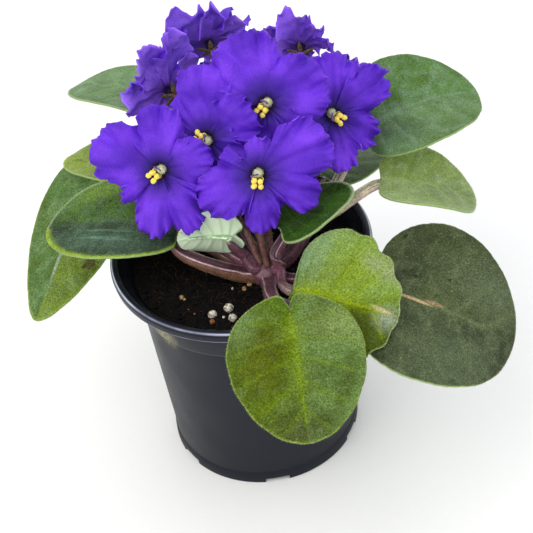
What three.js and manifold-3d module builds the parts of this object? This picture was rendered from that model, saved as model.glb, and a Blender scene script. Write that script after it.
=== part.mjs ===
// A potted African violet in a black nursery pot, in millimetres, +Z up.
// The pot's axis is the Z axis while everything is placed; the whole group is then
// moved so that the middle of its box's underside is the origin.
import * as THREE from "three";
import { mergeVertices } from "three/addons/utils/BufferGeometryUtils.js";
import Module from "manifold-3d";

const wasm = await Module();
wasm.setup();

// Driving dimensions of the pot
const rimRadius = 60;
const potHeight = 115;
const lipWidth = 4;
const lipSkirt = 5;
const wall = 1.6;
const collarBottom = 98;
const bodyTopRadius = 50;
const bodyBottomRadius = 46.5;
const footRadius = 47.4;
const footHeight = 6;
const footNotches = 6;
const notchWidth = 12;
const notchHeight = 2.8;
const floorBottom = 3;
const floorTop = 5;
const drainHoles = 6;
const drainRadius = 4;
const drainRing = 26;
const potSides = 36;

// Soil and the crown that all the stalks rise from
const soilTop = 107;
const soilRipple = 0.7;
const crownAt = new THREE.Vector3(10, -18, soilTop);
const crownRadius = 7.5;
const crownHeight = 9;
const crownRoot = 3;

// Stalks
const petioleRadius = 1.95;
const peduncleRadius = 1.5;
const pedicelRadius = 0.9;

// Leaf blades: scallops to a side, their depth as a share of the leaf, and the domes between veins
const bladeThickness = 1.0;
const leafTeeth = 7;
const leafTooth = 0.02;
const leafPillow = 0.5;
const ribDepth = 0.5;
const edgeWave = 1;

// Flowers: notchHalf is half the angle between two petals, in degrees
const petalThickness = 0.8;
const petalRuffle = 1.2;
const petalArch = 0.32;
const notchHalf = 3;
const tubeDepth = 4;
const sepalLength = 6;
const calyxDepth = 2.5;

// Gap kept between pieces that touch
const gap = 0.3;

// The middle of the whole plant's box from above, from the pot's axis
const boxMiddle = [7.8, -6.6];

const V = (x, y, z) => new THREE.Vector3(x, y, z);
const up = V(0, 0, 1);
const mix = (a, b, t) => a + (b - a) * t;
const bell = (x) => Math.exp(-x * x);

const looks = {
  pot: new THREE.MeshStandardMaterial({ color: "#22242a", roughness: 0.5, metalness: 0 }),
  soil: new THREE.MeshStandardMaterial({ color: "#1d1815", roughness: 0.95, metalness: 0 }),
  crown: new THREE.MeshStandardMaterial({ color: "#6a4a45", roughness: 0.7, metalness: 0 }),
  stalk: new THREE.MeshStandardMaterial({ color: "#6b3d4c", roughness: 0.6, metalness: 0 }),
  darkLeaf: new THREE.MeshStandardMaterial({ color: "#3d5a35", roughness: 0.65, metalness: 0 }),
  brightLeaf: new THREE.MeshStandardMaterial({ color: "#5f8a2e", roughness: 0.65, metalness: 0 }),
  petal: new THREE.MeshStandardMaterial({ color: "#5a2fd0", roughness: 0.6, metalness: 0 }),
  pollen: new THREE.MeshStandardMaterial({ color: "#e8c91e", roughness: 0.5, metalness: 0 }),
  pedicel: new THREE.MeshStandardMaterial({ color: "#5a4030", roughness: 0.7, metalness: 0 }),
};

const root = new THREE.Group();
root.position.set(-boxMiddle[0], -boxMiddle[1], 0);

// A closed three.js geometry as a solid that can be joined and cut
function solidFrom(geometry) {
  const bare = new THREE.BufferGeometry();
  bare.setAttribute("position", geometry.getAttribute("position"));
  if (geometry.index) bare.setIndex(geometry.index);
  const merged = mergeVertices(bare, 1e-4);
  const mesh = new wasm.Mesh({
    numProp: 3,
    vertProperties: new Float32Array(merged.getAttribute("position").array),
    triVerts: new Uint32Array(merged.index.array),
  });
  return new wasm.Manifold(mesh);
}

function geometryFrom(solid) {
  const mesh = solid.getMesh();
  const geometry = new THREE.BufferGeometry();
  geometry.setAttribute("position", new THREE.BufferAttribute(mesh.vertProperties, 3));
  geometry.setIndex(new THREE.BufferAttribute(mesh.triVerts, 1));
  return geometry;
}

function join(pieces) {
  return pieces.reduce((all, piece) => all.add(piece));
}

// The largest body of a solid: a crumb that a cut leaves behind is dropped
function largest(solid) {
  const bodies = solid.decompose();
  return bodies.sort((a, b) => b.volume() - a.volume())[0];
}

function put(name, solid, material) {
  const mesh = new THREE.Mesh(geometryFrom(solid), material);
  mesh.name = name;
  root.add(mesh);
}

function lathe(profile, sides) {
  return solidFrom(
    new THREE.LatheGeometry(profile.map(([r, z]) => new THREE.Vector2(r, z)), sides)
      .rotateX(Math.PI / 2),
  );
}

// A round stalk along a smooth curve through the given points
function stalk(points, radius, steps, sides = 7) {
  const section = new THREE.Shape(
    Array.from({ length: sides }, (_, i) => {
      const a = (2 * Math.PI * i) / sides;
      return new THREE.Vector2(radius * Math.cos(a), radius * Math.sin(a));
    }),
  );
  const path = new THREE.CatmullRomCurve3(points, false, "centripetal");
  return solidFrom(
    new THREE.ExtrudeGeometry(section, { steps, extrudePath: path, bevelEnabled: false }),
  );
}

// A thin blade with the same triangles on both faces. surface(s, t) gives a point of the
// middle face for s from edge to edge and t from base to tip; the ends may close to a point.
function blade(surface, across, along, thickness) {
  const rows = along + 1;
  const columns = across + 1;
  const middle = [];
  for (let j = 0; j < rows; j++)
    for (let i = 0; i < columns; i++) middle.push(surface((2 * i) / across - 1, j / along));
  const faces = [];
  const at = (i, j) => j * columns + i;
  for (let j = 0; j < along; j++)
    for (let i = 0; i < across; i++) {
      const [a, b, c, d] = [at(i, j), at(i + 1, j), at(i + 1, j + 1), at(i, j + 1)];
      // the diagonals mirror about the midrib
      if (i < across / 2) faces.push([a, b, c], [a, c, d]);
      else faces.push([a, b, d], [b, c, d]);
    }
  const normals = middle.map(() => V(0, 0, 0));
  for (const [a, b, c] of faces) {
    const n = middle[b].clone().sub(middle[a]).cross(middle[c].clone().sub(middle[a]));
    for (const k of [a, b, c]) normals[k].add(n);
  }
  // points that fall together at the base and the tip share one normal
  const shared = new Map();
  const key = (p) => p.toArray().map((x) => x.toFixed(3)).join();
  middle.forEach((p, k) => {
    const total = shared.get(key(p)) ?? V(0, 0, 0);
    shared.set(key(p), total.add(normals[k]));
  });
  const half = thickness / 2;
  const lift = (k, h) =>
    middle[k].clone().addScaledVector(shared.get(key(middle[k])).clone().normalize(), h);
  const points = [
    ...middle.map((_, k) => lift(k, half)),
    ...middle.map((_, k) => lift(k, -half)),
  ];
  const n = middle.length;
  const triangles = [];
  for (const [a, b, c] of faces) triangles.push([a, b, c], [a + n, c + n, b + n]);
  const edge = [];
  for (let i = 0; i < across; i++) edge.push([at(i, 0), at(i + 1, 0)]);
  for (let j = 0; j < along; j++) edge.push([at(across, j), at(across, j + 1)]);
  for (let i = across; i > 0; i--) edge.push([at(i, along), at(i - 1, along)]);
  for (let j = along; j > 0; j--) edge.push([at(0, j), at(0, j - 1)]);
  for (const [a, b] of edge) triangles.push([a, a + n, b + n], [a, b + n, b]);
  const corners = triangles
    .filter(([a, b, c]) => {
      const [p, q, r] = [key(points[a]), key(points[b]), key(points[c])];
      return p !== q && q !== r && p !== r;
    })
    .flatMap((t) => t.flatMap((k) => points[k].toArray()));
  const geometry = new THREE.BufferGeometry();
  geometry.setAttribute("position", new THREE.BufferAttribute(new Float32Array(corners), 3));
  return solidFrom(geometry);
}

// Pot: one moulded wall with a flat lip, a collar and feet, and holes in its floor
function makePot() {
  const inner = rimRadius - lipWidth;
  const wallFoot = bodyBottomRadius - wall;
  const profile = [
    [0, floorBottom],
    [footRadius - 6, floorBottom],
    [footRadius - 3, 0],
    [footRadius, 0],
    [footRadius - 0.2, footHeight],
    [bodyBottomRadius, footHeight + 1.2],
    [bodyTopRadius, collarBottom],
    [bodyTopRadius + 1.5, collarBottom + 0.8],
    [bodyTopRadius + 2.6, potHeight - lipSkirt - 0.8],
    [rimRadius - 1.6, potHeight - lipSkirt],
    [rimRadius - 0.4, potHeight - lipSkirt],
    [rimRadius, potHeight - 1],
    [rimRadius - 0.8, potHeight],
    [inner + 0.6, potHeight],
    [inner, potHeight - 0.8],
    [bodyTopRadius + 1.6, soilTop],
    [bodyTopRadius - wall + 0.6, collarBottom],
    [wallFoot, floorTop + 3],
    [wallFoot - 3, floorTop],
    [0, floorTop],
  ];
  let pot = lathe(profile, potSides);
  for (let i = 0; i < footNotches; i++) {
    const notch = new THREE.BoxGeometry(12, notchWidth, 2 * notchHeight)
      .translate(footRadius, 0, 0)
      .rotateZ(((i + 0.5) * 2 * Math.PI) / footNotches);
    pot = pot.subtract(solidFrom(notch));
  }
  for (let i = 0; i < drainHoles; i++) {
    const turn = (i * 2 * Math.PI) / drainHoles;
    const hole = new THREE.CylinderGeometry(drainRadius, drainRadius, 8, 8)
      .rotateX(Math.PI / 2)
      .translate(drainRing * Math.cos(turn), drainRing * Math.sin(turn), floorTop - 1);
    pot = pot.subtract(solidFrom(hole));
  }
  return pot;
}

put("pot", makePot(), looks.pot);

// A leaf blade's outline and form. Its base is where the stalk joins, at the heart's notch.
//   width: of the blade; lobe: how far the two lobes reach back past the joint, as a share
//   bend: degrees the midrib turns downward from base to tip; bank: degrees turned about it
//   cup: how far the edges rise; fold: slope of the halves about the midrib
function leafSurface(leaf) {
  const base = V(...leaf.base);
  const tip = V(...leaf.tip);
  const chord = tip.clone().sub(base);
  const span = chord.length();
  const ahead = chord.clone().normalize();
  const level = up.clone().cross(ahead).normalize();
  const bank = THREE.MathUtils.degToRad(leaf.bank);
  const left = level.clone().applyAxisAngle(ahead, bank);
  const top = ahead.clone().cross(left).normalize();
  const turn = THREE.MathUtils.degToRad(leaf.bend);
  const arc = span / (2 * Math.sin(turn / 2));
  const lobe = leaf.lobe;
  const length = arc * turn;

  // the outline: round phi = pi at the base to phi = 0 at the tip
  const outline = (phi) => {
    const heart = bell((phi - Math.PI) / 0.42);
    const scallop = leafTooth * Math.cos(2 * leafTeeth * phi) * Math.sqrt(Math.sin(phi));
    const tooth = scallop * (1 - heart);
    const u = 0.5 * (1 + lobe) * (1 + Math.cos(phi)) - lobe + lobe * heart;
    const v = 0.5 * Math.sin(phi) * (1 - 0.12 * Math.cos(phi) + 0.2 * heart);
    return [mix(0.45, u, 1 + tooth), v * (1 + tooth)];
  };

  return (s, t) => {
    const side = Math.sign(s);
    const reach = Math.abs(s);
    const phi = Math.PI * (1 - t);
    const [edgeU, edgeV] = outline(phi);
    const u = mix(Math.pow(t, 1.9), edgeU, reach) * length;
    const v = side * edgeV * reach * leaf.width;
    const far = Math.abs(v) / (leaf.width / 2);
    const ends = Math.sqrt(Math.abs(Math.sin(phi)));
    const rib = -ribDepth * bell(reach / 0.2) * ends;
    const pillow = -leafPillow * Math.cos(2 * leafTeeth * phi) * Math.sin(Math.PI * reach) * ends;
    const wave = edgeWave * reach ** 3 * Math.sin(3 * phi + 2 * side) * ends;
    const cup = leaf.cup * far * far + (leaf.fold ?? 0) * Math.abs(v);
    const height = cup + rib + pillow + wave;
    // along the midrib's arc, which starts half the turn above the chord and ends half below
    const slope = Math.min(turn / 2, turn / 2 - (u / length) * turn);
    const back = Math.min(0, u);
    const x = arc * (Math.sin(turn / 2) - Math.sin(slope)) + back * Math.cos(turn / 2);
    const z = arc * (Math.cos(slope) - Math.cos(turn / 2)) + back * Math.sin(turn / 2);
    const rise = ahead.clone().multiplyScalar(-Math.sin(slope)).addScaledVector(top, Math.cos(slope));
    return base
      .clone()
      .addScaledVector(ahead, x)
      .addScaledVector(top, z)
      .addScaledVector(left, v)
      .addScaledVector(rise, height);
  };
}

// Leaves: base is the joint with the stalk and tip the far end, both in place in the pot's frame;
// rises gives the height on the crown where the stalk starts, through the points it passes
const leaves = {
  front: {
    base: [15, -71, 134], tip: [14, -115, 106], width: 54, bend: 18, bank: -2, cup: -3, lobe: 0.25,
    starts: -90, rises: 2.4, look: "brightLeaf",
  },
  frontRight: {
    base: [20, -52, 126], tip: [58, -71, 121], width: 60, bend: 42, bank: 30, cup: -2, lobe: 0.12,
    starts: -65, rises: 6.6, look: "brightLeaf",
  },
  right: {
    base: [52, -50, 120], tip: [106, -71, 94], width: 73, bend: 46, bank: 17, cup: 4, lobe: 0.1,
    through: [[28, -33, 115], [41, -42, 118]], starts: -42, rises: 2.4, look: "darkLeaf",
  },
  rightSmall: {
    base: [67, 6, 133], tip: [108, -3, 118], width: 42, bend: 40, bank: 0, cup: 4, lobe: 0.1,
    starts: 12, rises: 6.6, look: "brightLeaf",
  },
  rightBack: {
    base: [64, 30, 145], tip: [119, 39, 149], width: 56, bend: 50, bank: 14, cup: 4, lobe: 0.1,
    starts: 30, rises: 2.4, look: "brightLeaf",
  },
  inner: {
    base: [18, -17, 132.5], tip: [54, -2, 142], width: 36, bend: 12, bank: -12, cup: 1, lobe: 0.2,
    starts: -25, rises: 6.6, look: "darkLeaf",
  },
  folded: {
    base: [1, -13, 129], tip: [-23.5, -11.5, 125.5], width: 20.5, bend: 30, bank: 65, cup: 2, lobe: 0.1,
    starts: 195, rises: 6.6, look: "darkLeaf",
  },
  left: {
    base: [-28, 4, 129], tip: [-86, 15, 127], width: 52, bend: 28, bank: -5, cup: 2, lobe: 0.14,
    starts: 177, rises: 2.4, look: "darkLeaf",
  },
  leftHanging: {
    base: [-60, 47, 125], tip: [-98, 1, 88], width: 41, bend: 55, bank: -3, cup: 0, fold: -0.15,
    through: [[-25, 14, 114], [-44, 35, 118.4]], lobe: 0.1, starts: 149, rises: 2.4, look: "brightLeaf",
  },
  leftSmall: {
    base: [-47, 46, 129], tip: [-79, 72, 127], width: 30, bend: 30, bank: 0, cup: 2, lobe: 0.1,
    starts: 152, rises: 6.6, look: "brightLeaf",
  },
  leftBack: {
    base: [-19, 64, 148], tip: [-70, 91, 153], width: 44, bend: 52, bank: 8, cup: 1, lobe: 0.14,
    starts: 112, rises: 6.2, look: "darkLeaf",
  },
  rear: {
    base: [16, 42, 126], tip: [20, 102, 116], width: 54, bend: 35, bank: 0, cup: 2, lobe: 0.14,
    starts: 90, rises: 2.4, look: "darkLeaf",
  },
  rearLeft: {
    base: [-16, 42, 119], tip: [-36, 94, 104], width: 44, bend: 35, bank: 0, cup: 2, lobe: 0.14,
    starts: 120, rises: 2.4, look: "darkLeaf",
  },
  rearRight: {
    base: [42, 32, 121], tip: [80, 82, 106], width: 50, bend: 35, bank: 0, cup: 2, lobe: 0.14,
    starts: 60, rises: 2.4, look: "darkLeaf",
  },
};

// Perlite grains on the soil: x, y, radius
const perlite = [
  [-17, -37, 1.7], [-10, -34, 1.9], [-8, -42, 1.9], [-31, -23, 1.2], [-36, 2, 1.6],
  [-20, 30, 1.8], [8, 44, 1.5], [32, 28, 1.9], [44, 4, 1.4], [34, -20, 1.6],
];

const crownProfile = (extra) => [
  [0, -crownRoot - extra],
  [crownRadius - 2 + extra, -crownRoot - extra],
  [crownRadius + extra, 2],
  [crownRadius - 2 + extra, crownHeight - 1 + extra],
  [0, crownHeight + extra],
];
const crown = lathe(crownProfile(0), 12).translate(crownAt.toArray());
const crownSeat = lathe(crownProfile(gap), 12).translate(crownAt.toArray());
put("crown", crown, looks.crown);

// The peat fills the pot to just under the rim, with a loose surface and white perlite on it
function makeSoil() {
  const edge = bodyTopRadius + 1.2 - gap;
  const wallFoot = bodyBottomRadius - wall - gap;
  const geometry = new THREE.LatheGeometry(
    [
      [0, floorTop + gap],
      [wallFoot - 3, floorTop + gap],
      [wallFoot, floorTop + 3 + gap],
      [bodyTopRadius - wall + 0.6 - gap, collarBottom],
      [edge, soilTop],
      [0.55 * edge, soilTop],
      [0, soilTop],
    ].map(([r, z]) => new THREE.Vector2(r, z)),
    potSides,
  ).rotateX(Math.PI / 2);
  const points = geometry.getAttribute("position");
  for (let i = 0; i < points.count; i++) {
    const [x, y, z] = [points.getX(i), points.getY(i), points.getZ(i)];
    const onTop = z > soilTop - 0.01 && Math.hypot(x, y) < edge - 1;
    if (onTop) points.setZ(i, soilTop + soilRipple * Math.sin(0.31 * x + 1) * Math.cos(0.27 * y));
  }
  const grains = perlite.map(([x, y, radius]) =>
    solidFrom(
      new THREE.IcosahedronGeometry(radius, 0).translate(x, y, soilTop + 0.35 * radius),
    ),
  );
  return join([solidFrom(geometry), ...grains]).subtract(crownSeat);
}
put("soil", makeSoil(), looks.soil);

for (const [name, leaf] of Object.entries(leaves)) {
  const surface = leafSurface(leaf);
  const leafBlade = blade(surface, 4, 2 * leafTeeth, bladeThickness);
  put(`leaf_${name}`, leafBlade, looks[leaf.look]);
  const base = V(...leaf.base);
  const starts = THREE.MathUtils.degToRad(leaf.starts);
  const out = V(Math.cos(starts), Math.sin(starts), 0);
  const start = crownAt.clone().addScaledVector(out, crownRadius - 3).setZ(soilTop + leaf.rises);
  const clear = start.clone().addScaledVector(out, 8).add(V(0, 0, 1.5));
  // the stalk's end lies under the blade, along its midrib
  const joint = surface(0, 0);
  const along = surface(0, 0.35).sub(joint).normalize();
  const below = along.clone().cross(surface(1, 0.5).sub(surface(-1, 0.5)).normalize()).normalize();
  if (below.z > 0) below.negate();
  const folded = 1.4 * Math.max(0, -(leaf.fold ?? 0));
  const seat = petioleRadius * (1 + folded) + bladeThickness / 2 + 2 * gap;
  const middle = clear.clone().lerp(base, 0.55).add(V(0, 0, -seat));
  const points = [
    start,
    clear,
    ...(leaf.through ? leaf.through.map((p) => V(...p)) : [middle]),
    joint.clone().addScaledVector(along, -2).addScaledVector(below, seat),
    joint.clone().addScaledVector(along, 5).addScaledVector(below, seat),
  ];
  const petiole = stalk(points, petioleRadius, 8, 6).subtract(crownSeat);
  put(`petiole_${name}`, largest(petiole), looks.stalk);
}

// Flowers: at is the throat and faces the way it looks; each petal has the angle round the
// flower (0 level, 90 up), its length and half the angle that it spreads over
const flowers = {
  frontLeft: {
    at: [-29, 1, 160], faces: [-0.1, -0.85, 0.5],
    petals: [[-104, 29, 21], [-66, 30, 20], [10, 21, 38], [85, 28, 27], [152, 33, 30]],
  },
  front: {
    at: [12, -10, 158], faces: [-0.1, -0.9, 0.42],
    petals: [[-91, 25, 24], [-28, 28, 20], [24, 34, 28], [78, 14, 32], [-155, 26, 26]],
  },
  centre: {
    at: [20, 13, 177], faces: [-0.05, -0.85, 0.5],
    petals: [[108, 31, 36], [18, 27, 44], [-50, 18, 28], [-95, 18, 26], [-150, 19, 26]],
  },
  right: {
    at: [49, 20, 162], faces: [0.1, -0.85, 0.5],
    petals: [[80, 27, 36], [25, 30, 24], [-42, 23, 26], [-88, 26, 22], [165, 15, 28]],
  },
  middleLeft: {
    at: [-7, 10, 166], faces: [-0.4, -0.78, 0.48],
    petals: [[99, 32, 33], [38, 26, 30], [-35, 20, 28], [-88, 20, 26], [-150, 14, 24]],
  },
  upperLeft: {
    at: [-22, 55, 166], faces: [-0.55, 0.8, 0.2],
    petals: [[101, 32, 24], [66, 31, 22], [12, 25, 28], [-40, 14, 24], [140, 21, 26]],
  },
  top: {
    at: [0, 68, 180], faces: [-0.1, 0.85, 0.5],
    petals: [[62, 33, 22], [102, 29, 24], [145, 23, 24], [-42, 14, 28], [-140, 16, 28]],
  },
  topRight: {
    at: [42, 62, 174], faces: [0.2, 0.9, 0.35],
    petals: [[76, 26, 24], [114, 18, 24], [30, 13, 20], [-84, 10, 26], [175, 14, 26]],
  },
  farRight: {
    at: [63, 59.5, 158], faces: [0.5, 0.8, 0.2],
    petals: [[105, 9, 16], [62, 15, 16], [150, 8, 22], [-30, 12, 26], [-110, 12, 26]],
  },
  lowLeft: {
    at: [-11, -2, 140], faces: [-0.2, -0.8, -0.3],
    petals: [[-104, 16, 24], [-150, 18, 24], [160, 14, 24], [80, 8, 24], [0, 12, 24]],
  },
  rearLeft: {
    at: [6, 84, 150], faces: [-0.3, 0.85, 0.3],
    petals: [[90, 20, 28], [30, 20, 28], [150, 20, 28], [-45, 24, 30], [-125, 24, 30]],
  },
  rearRight: {
    at: [34, 78, 146], faces: [0.35, 0.85, 0.3],
    petals: [[90, 20, 28], [30, 20, 28], [150, 20, 28], [-45, 24, 30], [-125, 24, 30]],
  },
};

function flowerFrame(flower) {
  const ahead = V(...flower.faces).normalize();
  const right = up.clone().cross(ahead).normalize();
  const top = ahead.clone().cross(right);
  const matrix = new THREE.Matrix4().makeBasis(right, top, ahead);
  return { at: V(...flower.at), ahead, matrix: matrix.setPosition(...flower.at) };
}

// The spokes of a corolla, anticlockwise: six to a lobe, with the notch between it and the next
function corollaSpokes(petals) {
  const lobes = [...petals].sort((a, b) => a[0] - b[0]);
  const spokes = [];
  lobes.forEach(([angle, length, spread], i) => {
    const [nextAngle, nextLength, nextSpread] = lobes[(i + 1) % lobes.length];
    const [lastAngle, , lastSpread] = lobes[(i + lobes.length - 1) % lobes.length];
    const next = nextAngle + (i === lobes.length - 1 ? 360 : 0);
    const last = lastAngle - (i === 0 ? 360 : 0);
    const meetsNext = (angle + spread + next - nextSpread) / 2;
    const meetsLast = (angle - spread + last + lastSpread) / 2;
    const right = Math.max(angle - spread, meetsLast + notchHalf);
    const left = Math.min(angle + spread, meetsNext - notchHalf);
    const open = next - nextSpread > angle + spread;
    for (const x of [-1, -0.5, 0, 0.5, 1]) {
      const at = x < 0 ? mix(angle, right, -x) : mix(angle, left, x);
      const ruffle = petalRuffle * Math.sin(4 * x + 2.1 * i) * (Math.abs(x) > 0.5 ? 1.3 : 0.8);
      spokes.push({ at, reach: length * (1 - 0.24 * x ** 4), ruffle, lobe: length });
    }
    const reach = Math.min(length, nextLength) * (open ? 0.4 : 0.62);
    spokes.push({ at: meetsNext, reach, ruffle: -petalRuffle / 2, lobe: length });
  });
  return spokes;
}

// A corolla with its throat at the flower's place: one thin body whose back runs down to a tube
function corolla(flower, frame) {
  const spokes = corollaSpokes(flower.petals);
  const rings = [0.1, 0.5, 1];
  const count = spokes.length;
  const middle = [V(0, 0, -1)];
  for (const ring of rings)
    for (const spoke of spokes) {
      const angle = THREE.MathUtils.degToRad(spoke.at);
      const r = Math.max(1.6, ring * spoke.reach);
      const arch = petalArch * spoke.lobe * ring * (1 - 0.95 * ring);
      const rise = arch + spoke.ruffle * ring ** 2;
      middle.push(V(r * Math.cos(angle), r * Math.sin(angle), rise));
    }
  const at = (j, i) => 1 + j * count + (i % count);
  const faces = [];
  for (let i = 0; i < count; i++) {
    faces.push([0, at(0, i), at(0, i + 1)]);
    for (let j = 0; j < rings.length - 1; j++)
      faces.push([at(j, i), at(j + 1, i), at(j + 1, i + 1)], [at(j, i), at(j + 1, i + 1), at(j, i + 1)]);
  }
  const normals = middle.map(() => V(0, 0, 0));
  for (const [a, b, c] of faces) {
    const n = middle[b].clone().sub(middle[a]).cross(middle[c].clone().sub(middle[a]));
    for (const k of [a, b, c]) normals[k].add(n);
  }
  const half = petalThickness / 2;
  const front = middle.map((p, k) => p.clone().addScaledVector(normals[k].normalize(), half));
  const back = middle.map((p, k) => p.clone().addScaledVector(normals[k], -half));
  back[0].z = -tubeDepth;
  const points = [...front, ...back].map((p) => p.applyMatrix4(frame.matrix));
  const n = middle.length;
  const rim = rings.length - 1;
  const triangles = faces.flatMap(([a, b, c]) => [[a, b, c], [a + n, c + n, b + n]]);
  for (let i = 0; i < count; i++) {
    const [a, b] = [at(rim, i), at(rim, i + 1)];
    triangles.push([a, a + n, b + n], [a, b + n, b]);
  }
  const geometry = new THREE.BufferGeometry();
  const corners = triangles.flatMap((t) => t.flatMap((k) => points[k].toArray()));
  geometry.setAttribute("position", new THREE.BufferAttribute(new Float32Array(corners), 3));
  return solidFrom(geometry);
}

// Two anther lobes on a pale ovary, with the style beside them
function eye(frame) {
  const place = (geometry, x, y, z) => solidFrom(geometry.translate(x, y, z).applyMatrix4(frame.matrix));
  return join([
    place(new THREE.SphereGeometry(1.6, 6, 4), 0, 0.3, 2.5),
    place(new THREE.SphereGeometry(1.4, 5, 4), -1.3, -1.3, 3.8),
    place(new THREE.SphereGeometry(1.4, 5, 4), 1.3, -1.3, 3.8),
  ]);
}

for (const [name, flower] of Object.entries(flowers)) {
  const frame = flowerFrame(flower);
  put(`corolla_${name}`, corolla(flower, frame), looks.petal);
  put(`anthers_${name}`, eye(frame), looks.pollen);
}

// Flower stalks: each rises from the crown to a fork, and a pedicel goes on to each flower
const sprays = {
  left: {
    foot: [-2.5, -0.3], by: [2, -8, 132], fork: [-14, 26, 142],
    flowers: ["frontLeft", "upperLeft", "lowLeft"],
  },
  middle: {
    foot: [-0.6, 2.7], by: [7, -2, 132], fork: [4, 36, 148],
    flowers: ["middleLeft", "top", "rearLeft"],
  },
  centre: {
    foot: [0.3, -2.6], by: [9, -11, 134], fork: [14, 16, 148],
    flowers: ["front", "centre"],
  },
  right: {
    foot: [2.7, 0.8], by: [15, 2, 130], fork: [36, 40, 144],
    flowers: ["right", "topRight", "farRight", "rearRight"],
  },
};

// A calyx of five pointed sepals as one faceted star, its front against the corolla's tube
function calyx(frame) {
  const front = V(0, 0, -tubeDepth - gap);
  const back = V(0, 0, -tubeDepth - gap - calyxDepth);
  const star = Array.from({ length: 10 }, (_, i) => {
    const angle = (i * Math.PI) / 5;
    const r = i % 2 ? 1.3 : sepalLength;
    return V(r * Math.cos(angle), r * Math.sin(angle), -tubeDepth - (i % 2 ? 1.2 : 2));
  });
  const corners = star.flatMap((p, i) => {
    const q = star[(i + 1) % 10];
    return [front, p, q, back, q, p];
  });
  const geometry = new THREE.BufferGeometry().setFromPoints(corners).applyMatrix4(frame.matrix);
  return solidFrom(geometry);
}

function pedicelTo(flower, fork) {
  const frame = flowerFrame(flower);
  const behind = (depth) => frame.at.clone().addScaledVector(frame.ahead, -depth);
  const end = behind(tubeDepth + 1);
  const neck = stalk([fork, fork.clone().lerp(behind(13), 0.6), behind(10), end], pedicelRadius, 5, 5);
  return join([neck, calyx(frame)]);
}

for (const [name, spray] of Object.entries(sprays)) {
  const fork = V(...spray.fork);
  const foot = crownAt.clone().add(V(...spray.foot, crownHeight - 2));
  const peduncle = stalk([foot, V(...spray.by), fork], peduncleRadius, 5, 6);
  const pedicels = spray.flowers.map((flower) => pedicelTo(flowers[flower], fork));
  put(`stalk_${name}`, join([peduncle, ...pedicels]).subtract(crownSeat), looks.pedicel);
}

export default root;
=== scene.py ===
import math
import random

import bmesh
import bpy
import numpy as np
from mathutils import Matrix, Vector, noise


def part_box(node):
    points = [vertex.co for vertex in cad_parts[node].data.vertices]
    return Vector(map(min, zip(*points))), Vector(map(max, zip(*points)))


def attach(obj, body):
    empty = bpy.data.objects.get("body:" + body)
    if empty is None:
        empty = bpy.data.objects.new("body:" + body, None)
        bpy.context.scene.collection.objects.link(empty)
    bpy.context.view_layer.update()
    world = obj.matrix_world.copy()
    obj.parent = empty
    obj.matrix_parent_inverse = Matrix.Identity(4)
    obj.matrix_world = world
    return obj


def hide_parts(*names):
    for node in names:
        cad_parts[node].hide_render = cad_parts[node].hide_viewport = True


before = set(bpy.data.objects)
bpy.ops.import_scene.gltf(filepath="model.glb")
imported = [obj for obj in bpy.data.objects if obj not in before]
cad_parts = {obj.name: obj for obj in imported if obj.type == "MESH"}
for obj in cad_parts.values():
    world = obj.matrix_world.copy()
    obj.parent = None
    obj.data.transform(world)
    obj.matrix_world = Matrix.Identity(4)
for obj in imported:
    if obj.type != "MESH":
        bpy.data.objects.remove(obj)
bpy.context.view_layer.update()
scene = bpy.context.scene
noise.seed_set(500)  # without a seed, the vector noise starts from the clock

mm = 0.001
potLow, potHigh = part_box("pot")
# every size below is in mm, from the middle of the pot's foot
potAxis = Vector((potLow.x + potHigh.x, potLow.y + potHigh.y, 0)) / 2 / mm


# colours and nodes

def linearColour(hexCode):
    channels = [int(hexCode[i:i + 2], 16) / 255 for i in (1, 3, 5)]
    return [c / 12.92 if c <= 0.04045 else ((c + 0.055) / 1.055) ** 2.4 for c in channels] + [1]


def setNode(tree, node, settings):
    # sets each value on the attribute or input of that name: a socket is linked, a hex code made a colour
    for key, value in settings.items():
        if isinstance(value, bpy.types.NodeSocket):
            tree.links.new(value, node.inputs[key])
        elif isinstance(key, str) and hasattr(node, key):
            setattr(node, key, value)
        else:
            node.inputs[key].default_value = linearColour(value) if isinstance(value, str) else value


def addNode(tree, kind, settings, out=0):
    node = tree.nodes.new("ShaderNode" + kind)
    setNode(tree, node, settings)
    return node.outputs[out]


def startFinish(name, roughness, specular=0.5):
    # a new material, with its nodes, its shader and the place on the object
    material = bpy.data.materials.new(name)
    material.use_nodes = True
    tree = material.node_tree
    shader = tree.nodes["Principled BSDF"]
    setNode(tree, shader, {"Roughness": roughness, "Specular IOR Level": specular})
    return material, tree, shader, addNode(tree, "TexCoord", {}, "Object")


def layOver(tree, colour, second, pattern, low, high, most=1.0, kind="LINEAR"):
    # a second colour covers the first while the pattern goes from low to high
    share = addNode(tree, "MapRange", {"interpolation_type": kind, 0: pattern, 1: low, 2: high, 4: most})
    return addNode(tree, "Mix", {"data_type": "RGBA", 0: share, 6: colour, 7: second}, 2)


def shadeBy(tree, colour, pattern, low, high, least, most):
    # a colour made darker and lighter by a pattern
    share = addNode(tree, "MapRange", {0: pattern, 1: low, 2: high, 3: least, 4: most})
    return addNode(tree, "Mix", {"data_type": "RGBA", "blend_type": "MULTIPLY", 0: 1.0, 6: colour, 7: share}, 2)


# small helpers for shapes

curveSteps = 24  # between two of a curve's own points
tuftSize = 40  # hairs made in one small bmesh


def bell(x):
    return np.exp(-np.square(x))


def smoothStep(low, high, x):
    t = np.clip((x - low) / (high - low), 0, 1)
    return t * t * (3 - 2 * t)


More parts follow.
